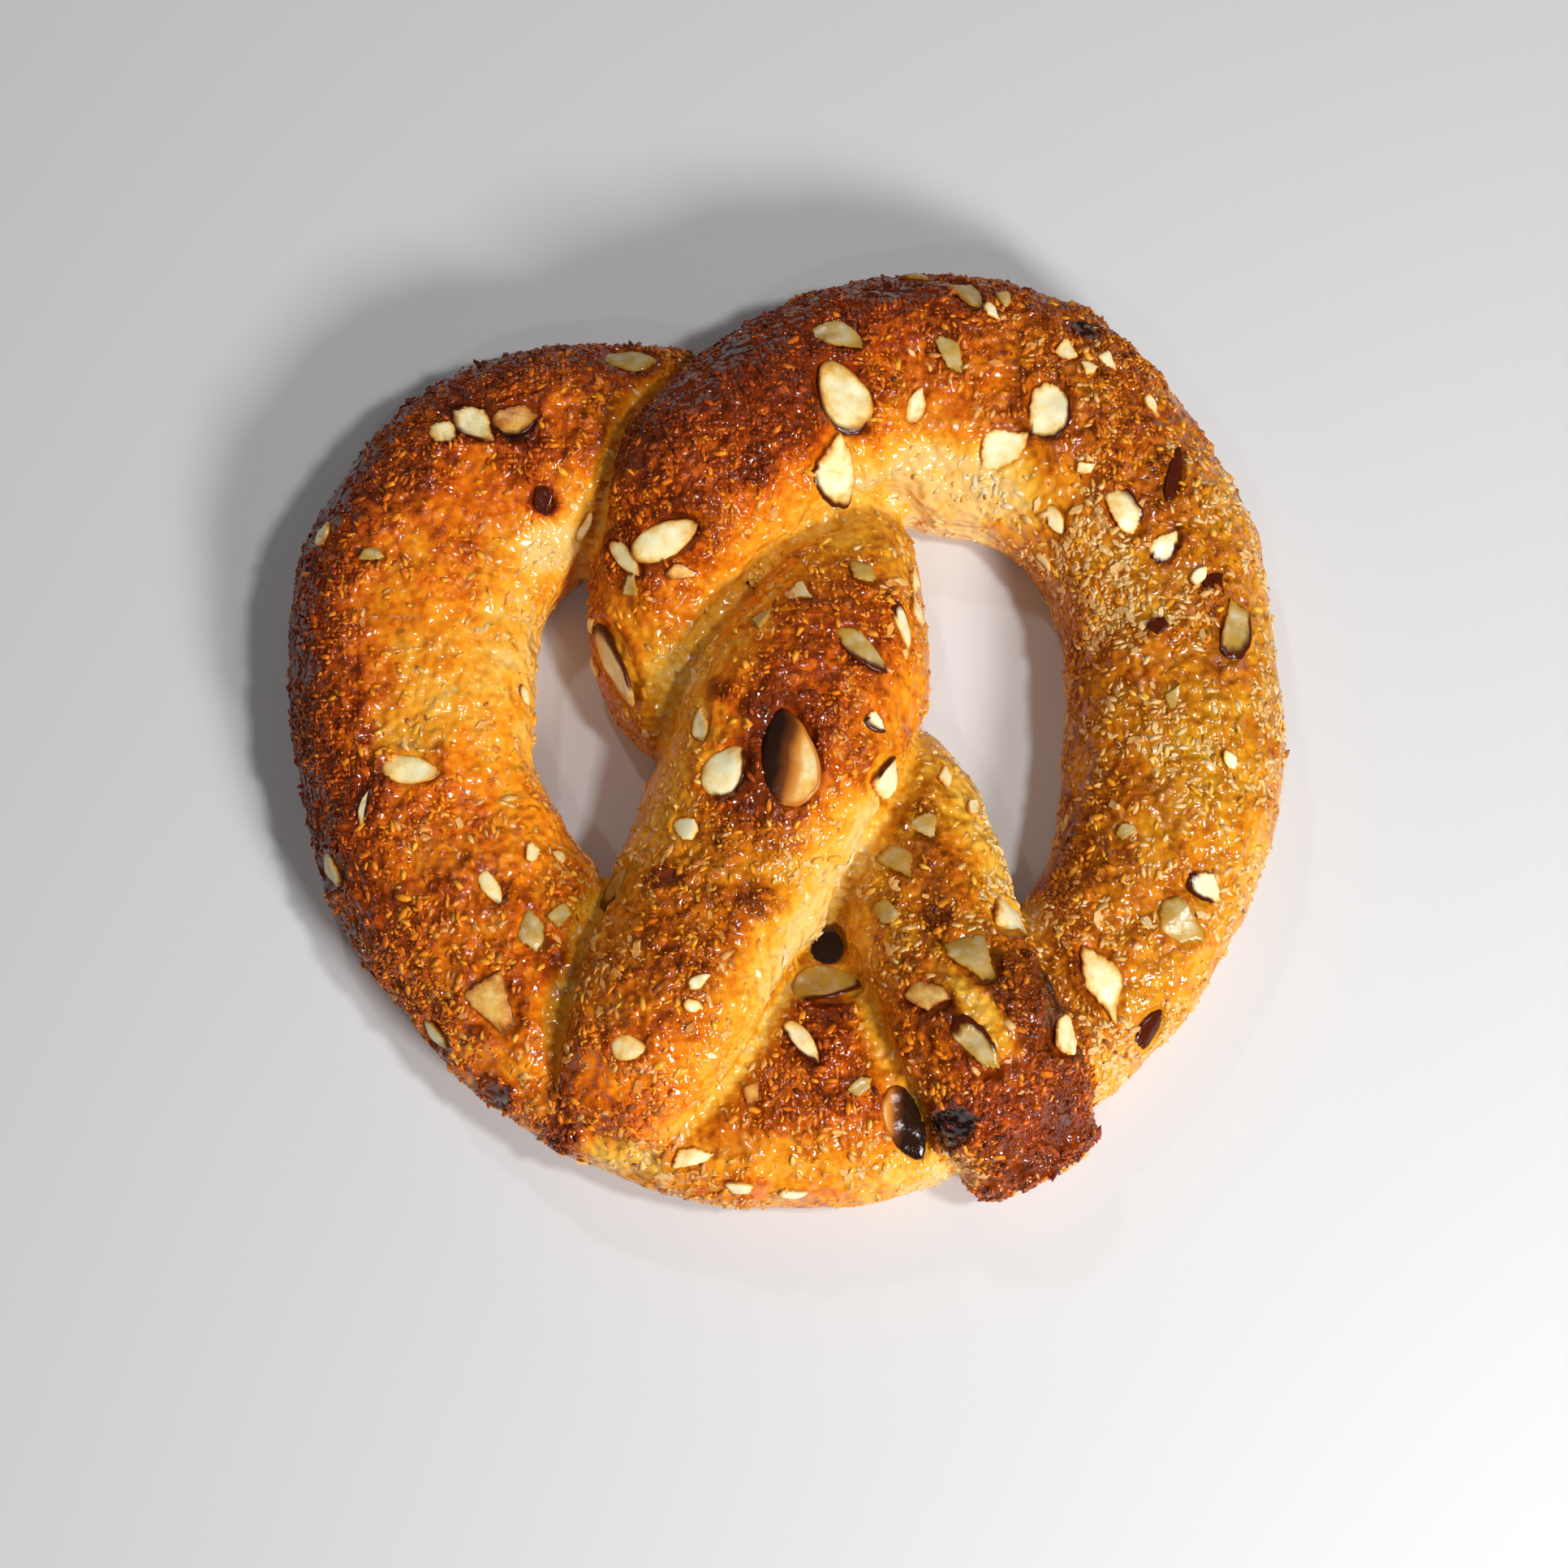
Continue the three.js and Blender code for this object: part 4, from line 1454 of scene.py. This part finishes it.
    def shape(self, spec: FlakeSpec, rng: np.random.Generator) -> tuple[Array, Array, dict]:
        """A thin slab on a grid of direction and level, its top and underside meeting at the rim.

        Half the thickness at level v is (1 - v^10)^(1/2) of its full value, and the slab bends along
        and across by the square of the distance. The tip at +x is pinched by |sine|^(1/5).

        Args:
            spec: The flake.
            rng: Source of its chance details.

        Returns:
            Points in the flake's own axes, faces, and the colour fields.
        """
        turn = 2 * np.pi * np.arange(self.around) / self.around
        reach = self.outline(spec, turn, rng)
        taper = 1 - 0.25 * np.cos(turn)
        levels = np.array(self.levels[1:])
        share = np.concatenate([levels, levels[-2::-1]])
        top = np.concatenate([np.ones(len(levels)), -np.ones(len(levels) - 1)])
        grid = share[:, None] * reach[None, :]
        along = spec.length / 2 * grid * np.cos(turn)
        pinch = np.where(np.cos(turn) > 0, np.abs(np.sin(turn)) ** 0.2, 1.0)
        across = spec.width / 2 * grid * np.sin(turn) * taper * pinch
        half = self.thickness / 2 * rng.uniform(0.75, 1.15)
        wall = np.sqrt(np.maximum(1 - share**10, 0))[:, None] * top[:, None]
        flat = np.stack([along, across, np.zeros_like(along)], axis=-1).reshape(-1, 3)
        waves = value_noise(flat + rng.uniform(0, 90, 3), self.ripple_size, Seed.FLAKE_RIPPLE)
        ripple = self.ripple_height * waves.reshape(along.shape)
        curl = rng.uniform(-0.02, 0.24) * spec.length * (along / spec.length) ** 2
        cup = rng.uniform(-0.25, 0.3) * spec.width * (across / spec.width) ** 2
        twist = rng.uniform(-0.25, 0.25) * along * across / spec.length
        up = half * wall * (1 + 0.25 * ripple) - curl - cup + twist + 1.6 * ripple
        rings = np.stack([along, across, up], axis=-1)
        count = len(share)
        points = np.vstack([rings.reshape(-1, 3), [[0, 0, half]], [[0, 0, -half]]])
        faces = np.vstack([as_triangles(ring_faces(count, self.around)), fan_caps(count, self.around)])
        point_share = np.append(np.repeat(share, self.around), [0, 0])
        point_turn = np.append(np.tile(turn, count), [0, 0])
        return points, faces, self.colours(spec, points, point_share, point_turn, rng)

    def colours(
        self, spec: FlakeSpec, points: Array, share: Array, turn: Array, rng: np.random.Generator
    ) -> dict[str, Array]:
        """Skin along the rim on one side, toasting towards the rim, char on one half, and glaze.

        Args:
            spec: The flake.
            points: Its points in its own axes.
            share: Each point's level, 1 at the rim.
            turn: Each point's direction.
            rng: Source of its chance details.

        Returns:
            "skin", "toast", "burn" and "glazed", from 0 to 1.
        """
        rim = ease_between(*self.rim_levels, share)
        skin = np.zeros(len(points))
        burnt = spec.look in (Look.BURNT, Look.CHARRED)
        if spec.skin is not None and not burnt:
            inner = 1 - 2 * self.skin_width / spec.width
            facing = np.cos(turn - math.radians(spec.skin - spec.turn))
            skin = ease_between(inner - 0.04, inner + 0.04, share + 0.08 * (facing - 1))
            skin = skin * ease_between(0.0, 0.3, facing)
        if spec.look is Look.SKIN:
            skin = np.full(len(points), 1.0)
        mottle = fractal_noise(points + 40.0, self.mottle_size, 2, Seed.FLAKE_MOTTLE)
        toast = 0.02 + 0.46 * share**4 + 0.16 * rim + 0.20 * mottle + rng.uniform(-0.06, 0.14)
        toast += EXTRA_TOAST.get(spec.look, 0.0)
        burn = np.zeros(len(points))
        if burnt:
            side = math.radians(spec.skin - spec.turn)
            towards = points[:, 0] * math.cos(side) + points[:, 1] * math.sin(side)
            reach = 0.30 if spec.look is Look.CHARRED else -0.02
            burn = ease_between(*self.burn_edge, towards / spec.width + reach + 0.08 * mottle)
            burn = np.maximum(burn, 0.30 * rim)
        amount = np.full(len(points), UNDER_GLAZE.get(spec.look, 0.1)) + 0.3 * mottle
        return {
            "skin": np.clip(skin, 0, 1),
            "toast": np.clip(toast, 0, 1),
            "burn": np.clip(burn, 0, 1),
            "glazed": np.clip(amount, 0, 1),
        }

    def seat(self, tree: BVHTree, spec: FlakeSpec, centre: Array) -> Array:
        """The matrix that lays a flake on the crust at its place in plan, tipped to the slope there.

        Args:
            tree: The crust, for rays from above.
            spec: The flake.
            centre: The middle of the flake's node, in millimetres.

        Returns:
            A 4 by 4 matrix in millimetres.
        """
        turn = math.radians(spec.turn)
        along = Vector((math.cos(turn), math.sin(turn), 0))
        across = Vector((-along.y, along.x, 0))

        def crust_at(direction: Vector, reach: float) -> Vector | None:
            """The crust straight below a point near the flake's middle, near its height."""
            start = Vector(centre) + direction * reach
            start.z = centre[2] + self.seek_above
            hit = tree.ray_cast(start * MM, Vector((0, 0, -1)))[0]
            found = hit is not None and hit.z / MM > centre[2] - self.seek_below
            return hit / MM if found else None

        middle = crust_at(along, 0.0)
        nearest, nearest_normal = tree.find_nearest(Vector(centre) * MM)[:2]
        ends = [crust_at(along, way * spec.length * self.probe_share) for way in (1, -1)]
        sides = [crust_at(across, way * spec.width * self.probe_share) for way in (1, -1)]
        if middle is None or None in ends or None in sides:
            normal, middle = nearest_normal, nearest / MM
        else:
            normal = (ends[0] - ends[1]).cross(sides[0] - sides[1]).normalized()
            middle = (middle + sum(ends, Vector()) / 2 + sum(sides, Vector()) / 2) / 3
        ahead = (along - normal * along.dot(normal)).normalized()
        left = normal.cross(ahead)
        at = middle + normal * self.thickness * (0.5 - self.sunk) + normal * self.lift(spec)
        matrix = Matrix((ahead, left, normal)).transposed().to_4x4()
        matrix.translation = at
        return np.array(matrix)

    def lift(self, spec: FlakeSpec) -> float:
        """How far a flake's middle stands above the level it would sink to, so that its ends dip in."""
        return self.lift_base + self.lift_share * spec.length


# ------------------------------------------------------------------------------------ crumbs


class Solid(NamedTuple):
    """A small closed solid that is repeated: its points, about one unit across, and its triangles."""

    points: Array
    faces: Array


def rough_ball(seed: int, squash: tuple[float, float, float], rough: float) -> Solid:
    """An icosahedron with its corners moved in and out: 12 points and 20 triangles.

    Args:
        seed: Which chance shape.
        squash: Its size along its three axes.
        rough: How far its corners move, as a share of their reach.

    Returns:
        The solid.
    """
    golden = (1 + 5**0.5) / 2
    corners = [(0, a, b * golden) for a in (-1, 1) for b in (-1, 1)]
    points = np.array([(x, y, z) for x, y, z in corners] + [(y, z, x) for x, y, z in corners]
                      + [(z, x, y) for x, y, z in corners], float)
    points /= np.linalg.norm(points[0])
    near = np.linalg.norm(points[:, None] - points[None], axis=2)
    edge = near < 1.2
    faces = np.array([
        (a, b, c) for a in range(12) for b in range(a + 1, 12) for c in range(b + 1, 12)
        if edge[a, b] and edge[b, c] and edge[a, c]
    ])
    normal = np.cross(points[faces[:, 1]] - points[faces[:, 0]], points[faces[:, 2]] - points[faces[:, 0]])
    inward = (normal * points[faces].mean(axis=1)).sum(axis=1) < 0
    faces[inward] = faces[inward][:, ::-1]
    rng = np.random.default_rng(seed)
    points *= rng.uniform(1 - rough, 1 + rough, (12, 1))
    return Solid(points / 2 * np.array(squash), faces)


def cut_prism(seed: int, sides: int, squash: tuple[float, float, float], lean: float) -> Solid:
    """A prism of uneven sides with a leaning, smaller top: 2 * sides points.

    Args:
        seed: Which chance shape.
        sides: Corners of its base.
        squash: Its size along its three axes.
        lean: How far the top is moved and shrunk.

    Returns:
        The solid.
    """
    rng = np.random.default_rng(seed)
    turn = 2 * np.pi * (np.arange(sides) + rng.uniform(-0.25, 0.25, sides)) / sides
    reach = rng.uniform(0.75, 1.1, sides)
    base = np.stack([reach * np.cos(turn), reach * np.sin(turn), np.full(sides, -1.0)], axis=1)
    top = base * np.array([1 - lean, 1 - lean, -1]) + np.array([*rng.uniform(-lean, lean, 2), 0])
    points = np.vstack([base, top]) / 2 * np.array(squash)
    side = np.arange(sides)
    beside = (side + 1) % sides
    fan = np.arange(1, sides - 1)
    faces = np.vstack([
        np.stack([side, beside, beside + sides], axis=1),
        np.stack([side, beside + sides, side + sides], axis=1),
        np.stack([np.zeros_like(fan), fan + 1, fan], axis=1),
        np.stack([np.full_like(fan, sides), fan + sides, fan + 1 + sides], axis=1),
    ])
    return Solid(points, faces)


@dataclass
class Scatter:
    """Many small pieces of one kind, lying in the crust."""

    name: str
    slot: str
    count: int
    shapes: list[Solid]
    smallest: float
    largest: float
    sink: float
    tilt: float
    seed: int
    liking: Callable[[dict[str, Array]], Array]
    tone: Callable[[dict[str, Array], np.random.Generator], dict[str, Array]]
    smooth: bool = False

    def build(self, crust: "CrustSamples", material: bpy.types.Material) -> bpy.types.Object:
        """Draws places on the crust by liking, and puts a turned, sized copy of a shape at each.

        Args:
            crust: The crust's faces to draw from.
            material: The pieces' finish.

        Returns:
            All the pieces as one object.
        """
        rng = np.random.default_rng(self.seed)
        spots = crust.draw(self.count, self.liking(crust.fields), rng)
        where, normal = crust.points[spots], crust.normals[spots]
        size = self.smallest * (self.largest / self.smallest) ** rng.beta(1.2, 2.2, self.count)
        turn = rng.uniform(0, 2 * np.pi, self.count)
        axes = self.frames(normal, turn, rng)
        kind = rng.integers(0, len(self.shapes), self.count)
        fields = {key: values[spots] for key, values in crust.fields.items()}
        tones = self.tone(fields, rng)
        points, faces, attributes, offset = [], [], {key: [] for key in tones}, 0
        for number, shape in enumerate(self.shapes):
            mine = kind == number
            local = shape.points[None] * size[mine, None, None]
            placed = np.einsum("nij,nkj->nki", axes[mine], local)
            placed += (where[mine] - normal[mine] * (self.sink * size[mine])[:, None])[:, None, :]
            copies = len(placed)
            points.append(placed.reshape(-1, 3))
            steps = offset + np.arange(copies)[:, None, None] * len(shape.points)
            faces.append((shape.faces[None] + steps).reshape(-1, 3))
            for key in tones:
                attributes[key].append(np.repeat(tones[key][mine], len(shape.points)))
            offset += copies * len(shape.points)
        piece = new_mesh_object(
            self.name, np.vstack(points), np.vstack(faces),
            {key: np.concatenate(parts) for key, parts in attributes.items()}, self.smooth,
        )
        piece.data.materials.append(material)
        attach(piece, BODY)
        return piece

    def frames(self, normal: Array, turn: Array, rng: np.random.Generator) -> Array:
        """A turned set of axes on each normal, tipped at random.

        Args:
            normal: Unit normals, shape (n, 3).
            turn: Turns about them.
            rng: Source of the tips.

        Returns:
            Rotation matrices whose columns are the axes, shape (n, 3, 3).
        """
        up = normal + rng.normal(0, self.tilt, normal.shape)
        up /= np.linalg.norm(up, axis=1, keepdims=True)
        helper = np.where(np.abs(up[:, 2:]) < 0.9, [[0.0, 0, 1]], [[1.0, 0, 0]])
        first = np.cross(helper, up)
        first /= np.linalg.norm(first, axis=1, keepdims=True)
        second = np.cross(up, first)
        cosine, sine = np.cos(turn)[:, None], np.sin(turn)[:, None]
        return np.stack([first * cosine + second * sine, second * cosine - first * sine, up], axis=2)


class CrustSamples:
    """The crust's vertices as places for small pieces, with the fields they carry."""

    clump_size: float = 9.0

    def __init__(self, crust: bpy.types.Object, names: Sequence[str]) -> None:
        """Reads points, normals and fields from the finished crust."""
        self.points = vertices_of(crust.data)
        self.normals = normals_of(crust.data)
        self.fields: dict[str, Array] = {}
        for name in names:
            values = np.empty(len(self.points), np.float32)
            crust.data.attributes[name].data.foreach_get("value", values)
            self.fields[name] = values.astype(float)
        clump = 0.5 + 0.5 * fractal_noise(self.points, self.clump_size, 2, Seed.CLUMPS)
        self.fields.update(x=self.points[:, 0], y=self.points[:, 1], z=self.points[:, 2], clump=clump)

    def draw(self, count: int, liking: Array, rng: np.random.Generator) -> Array:
        """Picks count vertices by liking, none of them near the tray or underneath."""
        weight = np.maximum(liking, 0) * ease_between(2.0, 5.0, self.points[:, 2])
        weight *= self.normals[:, 2] > -0.35
        return rng.choice(len(weight), count, replace=False, p=weight / weight.sum())


def like_grit(fields: dict[str, Array]) -> Array:
    """More where the crust is granular, none under a flake."""
    clump = 0.35 + ease_between(0.35, 0.7, fields["clump"])
    clean = 1 - 0.85 * ease_between(0.84, 0.92, fields["bake"])
    return (0.05 + fields["grit"] ** 2) * clump * clean * (fields["flake_edge"] > 1.05)


# The middle of the patch of chopped almond on the right loop, and its reach along X and Y.
CHOPPED_PLACE = (55.0, 12.0)
CHOPPED_REACH = (7.0, 28.0)


def like_right_side(fields: dict[str, Array]) -> Array:
    """More on the right loop, the right end and the lower left, less on smooth glaze."""
    side = 0.20 + 0.7 * ease_between(10, 60, fields["x"]) + 0.35 * ease_between(0, -30, fields["y"])
    side *= ease_between(3, 13, fields["z"])
    over = (fields["x"] - CHOPPED_PLACE[0]) / CHOPPED_REACH[0]
    up = (fields["y"] - CHOPPED_PLACE[1]) / CHOPPED_REACH[1]
    side += 0.7 * np.exp(-(over**2) - up**2)
    clump = ease_between(0.42, 0.75, fields["clump"])
    unburnt = ease_between(0.72, 0.5, fields["bake"])
    return side * (0.15 + 0.5 * fields["grit"] + unburnt) * (0.1 + clump) * (0.12 + unburnt) * (
        fields["flake_edge"] > 1.1
    )


def crust_tone(fields: dict[str, Array], rng: np.random.Generator) -> dict[str, Array]:
    """Each crumb near the tone of the crust under it, some paler and some darker."""
    change = rng.normal(-0.06, 0.12, len(fields["bake"]))
    bake = fields["bake"] * (0.84 + 0.12 * ease_between(0.6, 0.8, fields["bake"])) + change
    return {"bake": np.clip(bake, 0.05, 0.86), "warmth": fields["warmth"]}


def sugar_tone(fields: dict[str, Array], rng: np.random.Generator) -> dict[str, Array]:
    """Grit a little paler than the crust under it."""
    change = rng.normal(-0.05, 0.08, len(fields["bake"]))
    bake = 0.9 * np.minimum(fields["bake"], 0.75) + change
    return {"bake": np.clip(bake, 0.05, 0.75), "warmth": fields["warmth"]}


def nut_tone(fields: dict[str, Array], rng: np.random.Generator) -> dict[str, Array]:
    """Chopped almond: pale to golden, more toasted where the crust baked more."""
    count = len(fields["bake"])
    side = ease_between(20, -20, fields["x"])
    bake = (0.10 + (0.60 + 0.2 * side) * fields["bake"]) * rng.uniform(0.5, 1.1, count) + 0.08 * side
    bake += rng.normal(0, 0.04, count)
    bake = np.where(rng.random(count) < 0.02, rng.uniform(0.65, 0.8, count), bake)
    return {"bake": np.clip(bake, 0, 1), "warmth": fields["warmth"] * rng.uniform(0.2, 0.9, count)}


@dataclass
class Topping:
    """Everything small that lies in the glaze."""

    crust: bpy.types.Object

    def scatters(self) -> list[tuple[Scatter, CrumbFinish]]:
        """The kinds of small pieces, each with its finish."""
        crumbs = [rough_ball(seed, (1.0, 0.46, 0.34), 0.26) for seed in range(8)]
        crumbs += [cut_prism(80 + seed, 5, (1.0, 0.42, 0.24), 0.3) for seed in range(6)]
        grit = [cut_prism(20 + seed, 4, (1.0, 0.8, 0.7), 0.3) for seed in range(6)]
        slivers = [rough_ball(40 + seed, (1.0, 0.40, 0.28), 0.24) for seed in range(12)]
        shards = [cut_prism(60 + seed, 5, (1.0, 0.5, 0.16), 0.2) for seed in range(12)]
        return [
            (
                Scatter(
                    "crust_crumbs", "baked_crust", count=9500, shapes=crumbs, smallest=0.9, largest=3.9,
                    sink=0.02, tilt=0.4, seed=Seed.CRUMBS, liking=like_grit, tone=crust_tone, smooth=True,
                ),
                CrumbFinish("crumb_glaze"),
            ),
            (
                Scatter(
                    "sugar_grit", "baked_crust", count=12000, shapes=grit, smallest=0.35, largest=0.85,
                    sink=0.05, tilt=0.7, seed=Seed.GRIT, liking=like_grit, tone=sugar_tone,
                ),
                CrumbFinish("sugar_grit", roughness=0.04, depth=0.05),
            ),
            (
                Scatter(
                    "almond_slivers", "almond", count=2900, shapes=slivers, smallest=1.2, largest=3.9,
                    sink=0.05, tilt=0.2, seed=Seed.SLIVERS, liking=like_right_side, tone=nut_tone,
                    smooth=True,
                ),
                CrumbFinish("almond_slivers", roughness=0.2, nut=True),
            ),
            (
                Scatter(
                    "almond_shards", "almond", count=560, shapes=shards, smallest=1.6, largest=4.6,
                    sink=0.0, tilt=0.22, seed=Seed.SHARDS, liking=like_right_side, tone=nut_tone,
                ),
                CrumbFinish("almond_shards", roughness=0.25, nut=True),
            ),
        ]

    def build(self) -> list[bpy.types.Object]:
        """Scatters every kind over the crust.

        Returns:
            One object for each kind.
        """
        samples = CrustSamples(self.crust, ("bake", "warmth", "grit", "glaze", "flake_edge"))
        return [scatter.build(samples, finish.material()) for scatter, finish in self.scatters()]


# ------------------------------------------------------------------------------------ studio


@dataclass
class Studio:
    """The floor, the lights and the camera, which looks almost straight down."""

    eye: tuple[float, float, float] = (-35.4, -96.2, 454.6)
    aim: tuple[float, float, float] = (-1.75, -9.2, 10.0)
    roll: float = -1.03
    lens: float = 59.63
    sensor: float = 36.0
    floor_half: float = 1500.0
    sky_strength: float = 0.07

    def build(self) -> None:
        """Makes the floor, the sky, the lamps and the camera."""
        self.floor()
        self.sky(self.sky_strength)
        self.lamp("window", (420, -540, 500), 180, 6.2, (1.0, 0.985, 0.96))
        self.lamp("overhead", (330, -80, 690), 80, 2.3, (1.0, 0.99, 0.98))
        self.lamp("near_spark", (-130, -300, 560), 30, 0.22, (1.0, 1.0, 1.0))
        self.lamp("back_spark", (-210, 430, 560), 32, 0.5, (1.0, 1.0, 1.0))
        self.colour_handling()
        self.camera()

    def floor(self) -> None:
        """A plain pale floor at the tray's level."""
        half = self.floor_half
        corners = np.array([[-half, -half, 0], [half, -half, 0], [half, half, 0], [-half, half, 0]])
        floor = new_mesh_object("floor", corners, np.array([[0, 1, 2, 3]]))
        floor.data.materials.append(FloorFinish().material())

    @staticmethod
    def colour_handling() -> None:
        """Plain colours, so that the glaze keeps its depth."""
        bpy.context.scene.view_settings.view_transform = "Standard"

    @staticmethod
    def sky(strength: float) -> None:
        """Even white light from all round."""
        world = bpy.data.worlds.new("soft_white")
        world.use_nodes = True
        background = world.node_tree.nodes["Background"]
        background.inputs["Color"].default_value = (1.0, 1.0, 1.0, 1.0)
        background.inputs["Strength"].default_value = strength
        bpy.context.scene.world = world

    @staticmethod
    def lamp(
        name: str,
        place: tuple[float, float, float],
        size: float,
        power: float,
        colour: tuple[float, float, float],
    ) -> None:
        """A square lamp that faces the pretzel.

        Args:
            name: The lamp's name.
            place: Where it hangs, in millimetres.
            size: Its side, in millimetres.
            power: Its power in watts.
            colour: Its colour.
        """
        data = bpy.data.lights.new(name, "AREA")
        data.shape = "SQUARE"
        data.size = size * MM
        data.energy = power
        data.color = colour
        lamp = bpy.data.objects.new(name, data)
        lamp.location = Vector(place) * MM
        lamp.rotation_euler = (-Vector(place)).to_track_quat("-Z", "Y").to_euler()
        bpy.context.scene.collection.objects.link(lamp)

    def camera(self) -> None:
        """The camera, turned so that +Y is up in its view and then rolled."""
        data = bpy.data.cameras.new("camera")
        data.lens = self.lens
        data.sensor_width = self.sensor
        data.clip_start = 0.01
        camera = bpy.data.objects.new("camera", data)
        eye, ahead = Vector(self.eye) * MM, (Vector(self.aim) - Vector(self.eye)).normalized()
        up = (Vector((0, 1, 0)) - ahead * ahead.y).normalized()
        right = ahead.cross(up)
        frame = Matrix((right, up, -ahead)).transposed()
        frame = Matrix.Rotation(math.radians(self.roll), 3, -ahead) @ frame
        camera.matrix_world = Matrix.Translation(eye) @ frame.to_4x4()
        bpy.context.scene.collection.objects.link(camera)
        bpy.context.scene.camera = camera


# ------------------------------------------------------------------------------------ assembly


def report(piece: bpy.types.Object) -> None:
    """Logs a piece's name and its number of faces."""
    LOG.info("%s: %d faces", piece.name, len(piece.data.polygons))


def main() -> None:
    """Builds the pretzel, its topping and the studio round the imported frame."""
    logging.basicConfig(level=logging.INFO, format="%(name)s: %(message)s")
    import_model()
    Studio().build()
    bed = FlakeBed()
    crust = Dough(Rope(), bed).build()
    crust.data.materials.append(CrustFinish().material())
    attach(crust, BODY)
    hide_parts(DOUGH_NODE)
    report(crust)
    for piece in FlakedAlmonds(crust, bed).build(AlmondFinish().material()):
        report(piece)
    for piece in Topping(crust).build():
        report(piece)


if __name__ == "__main__":
    main()
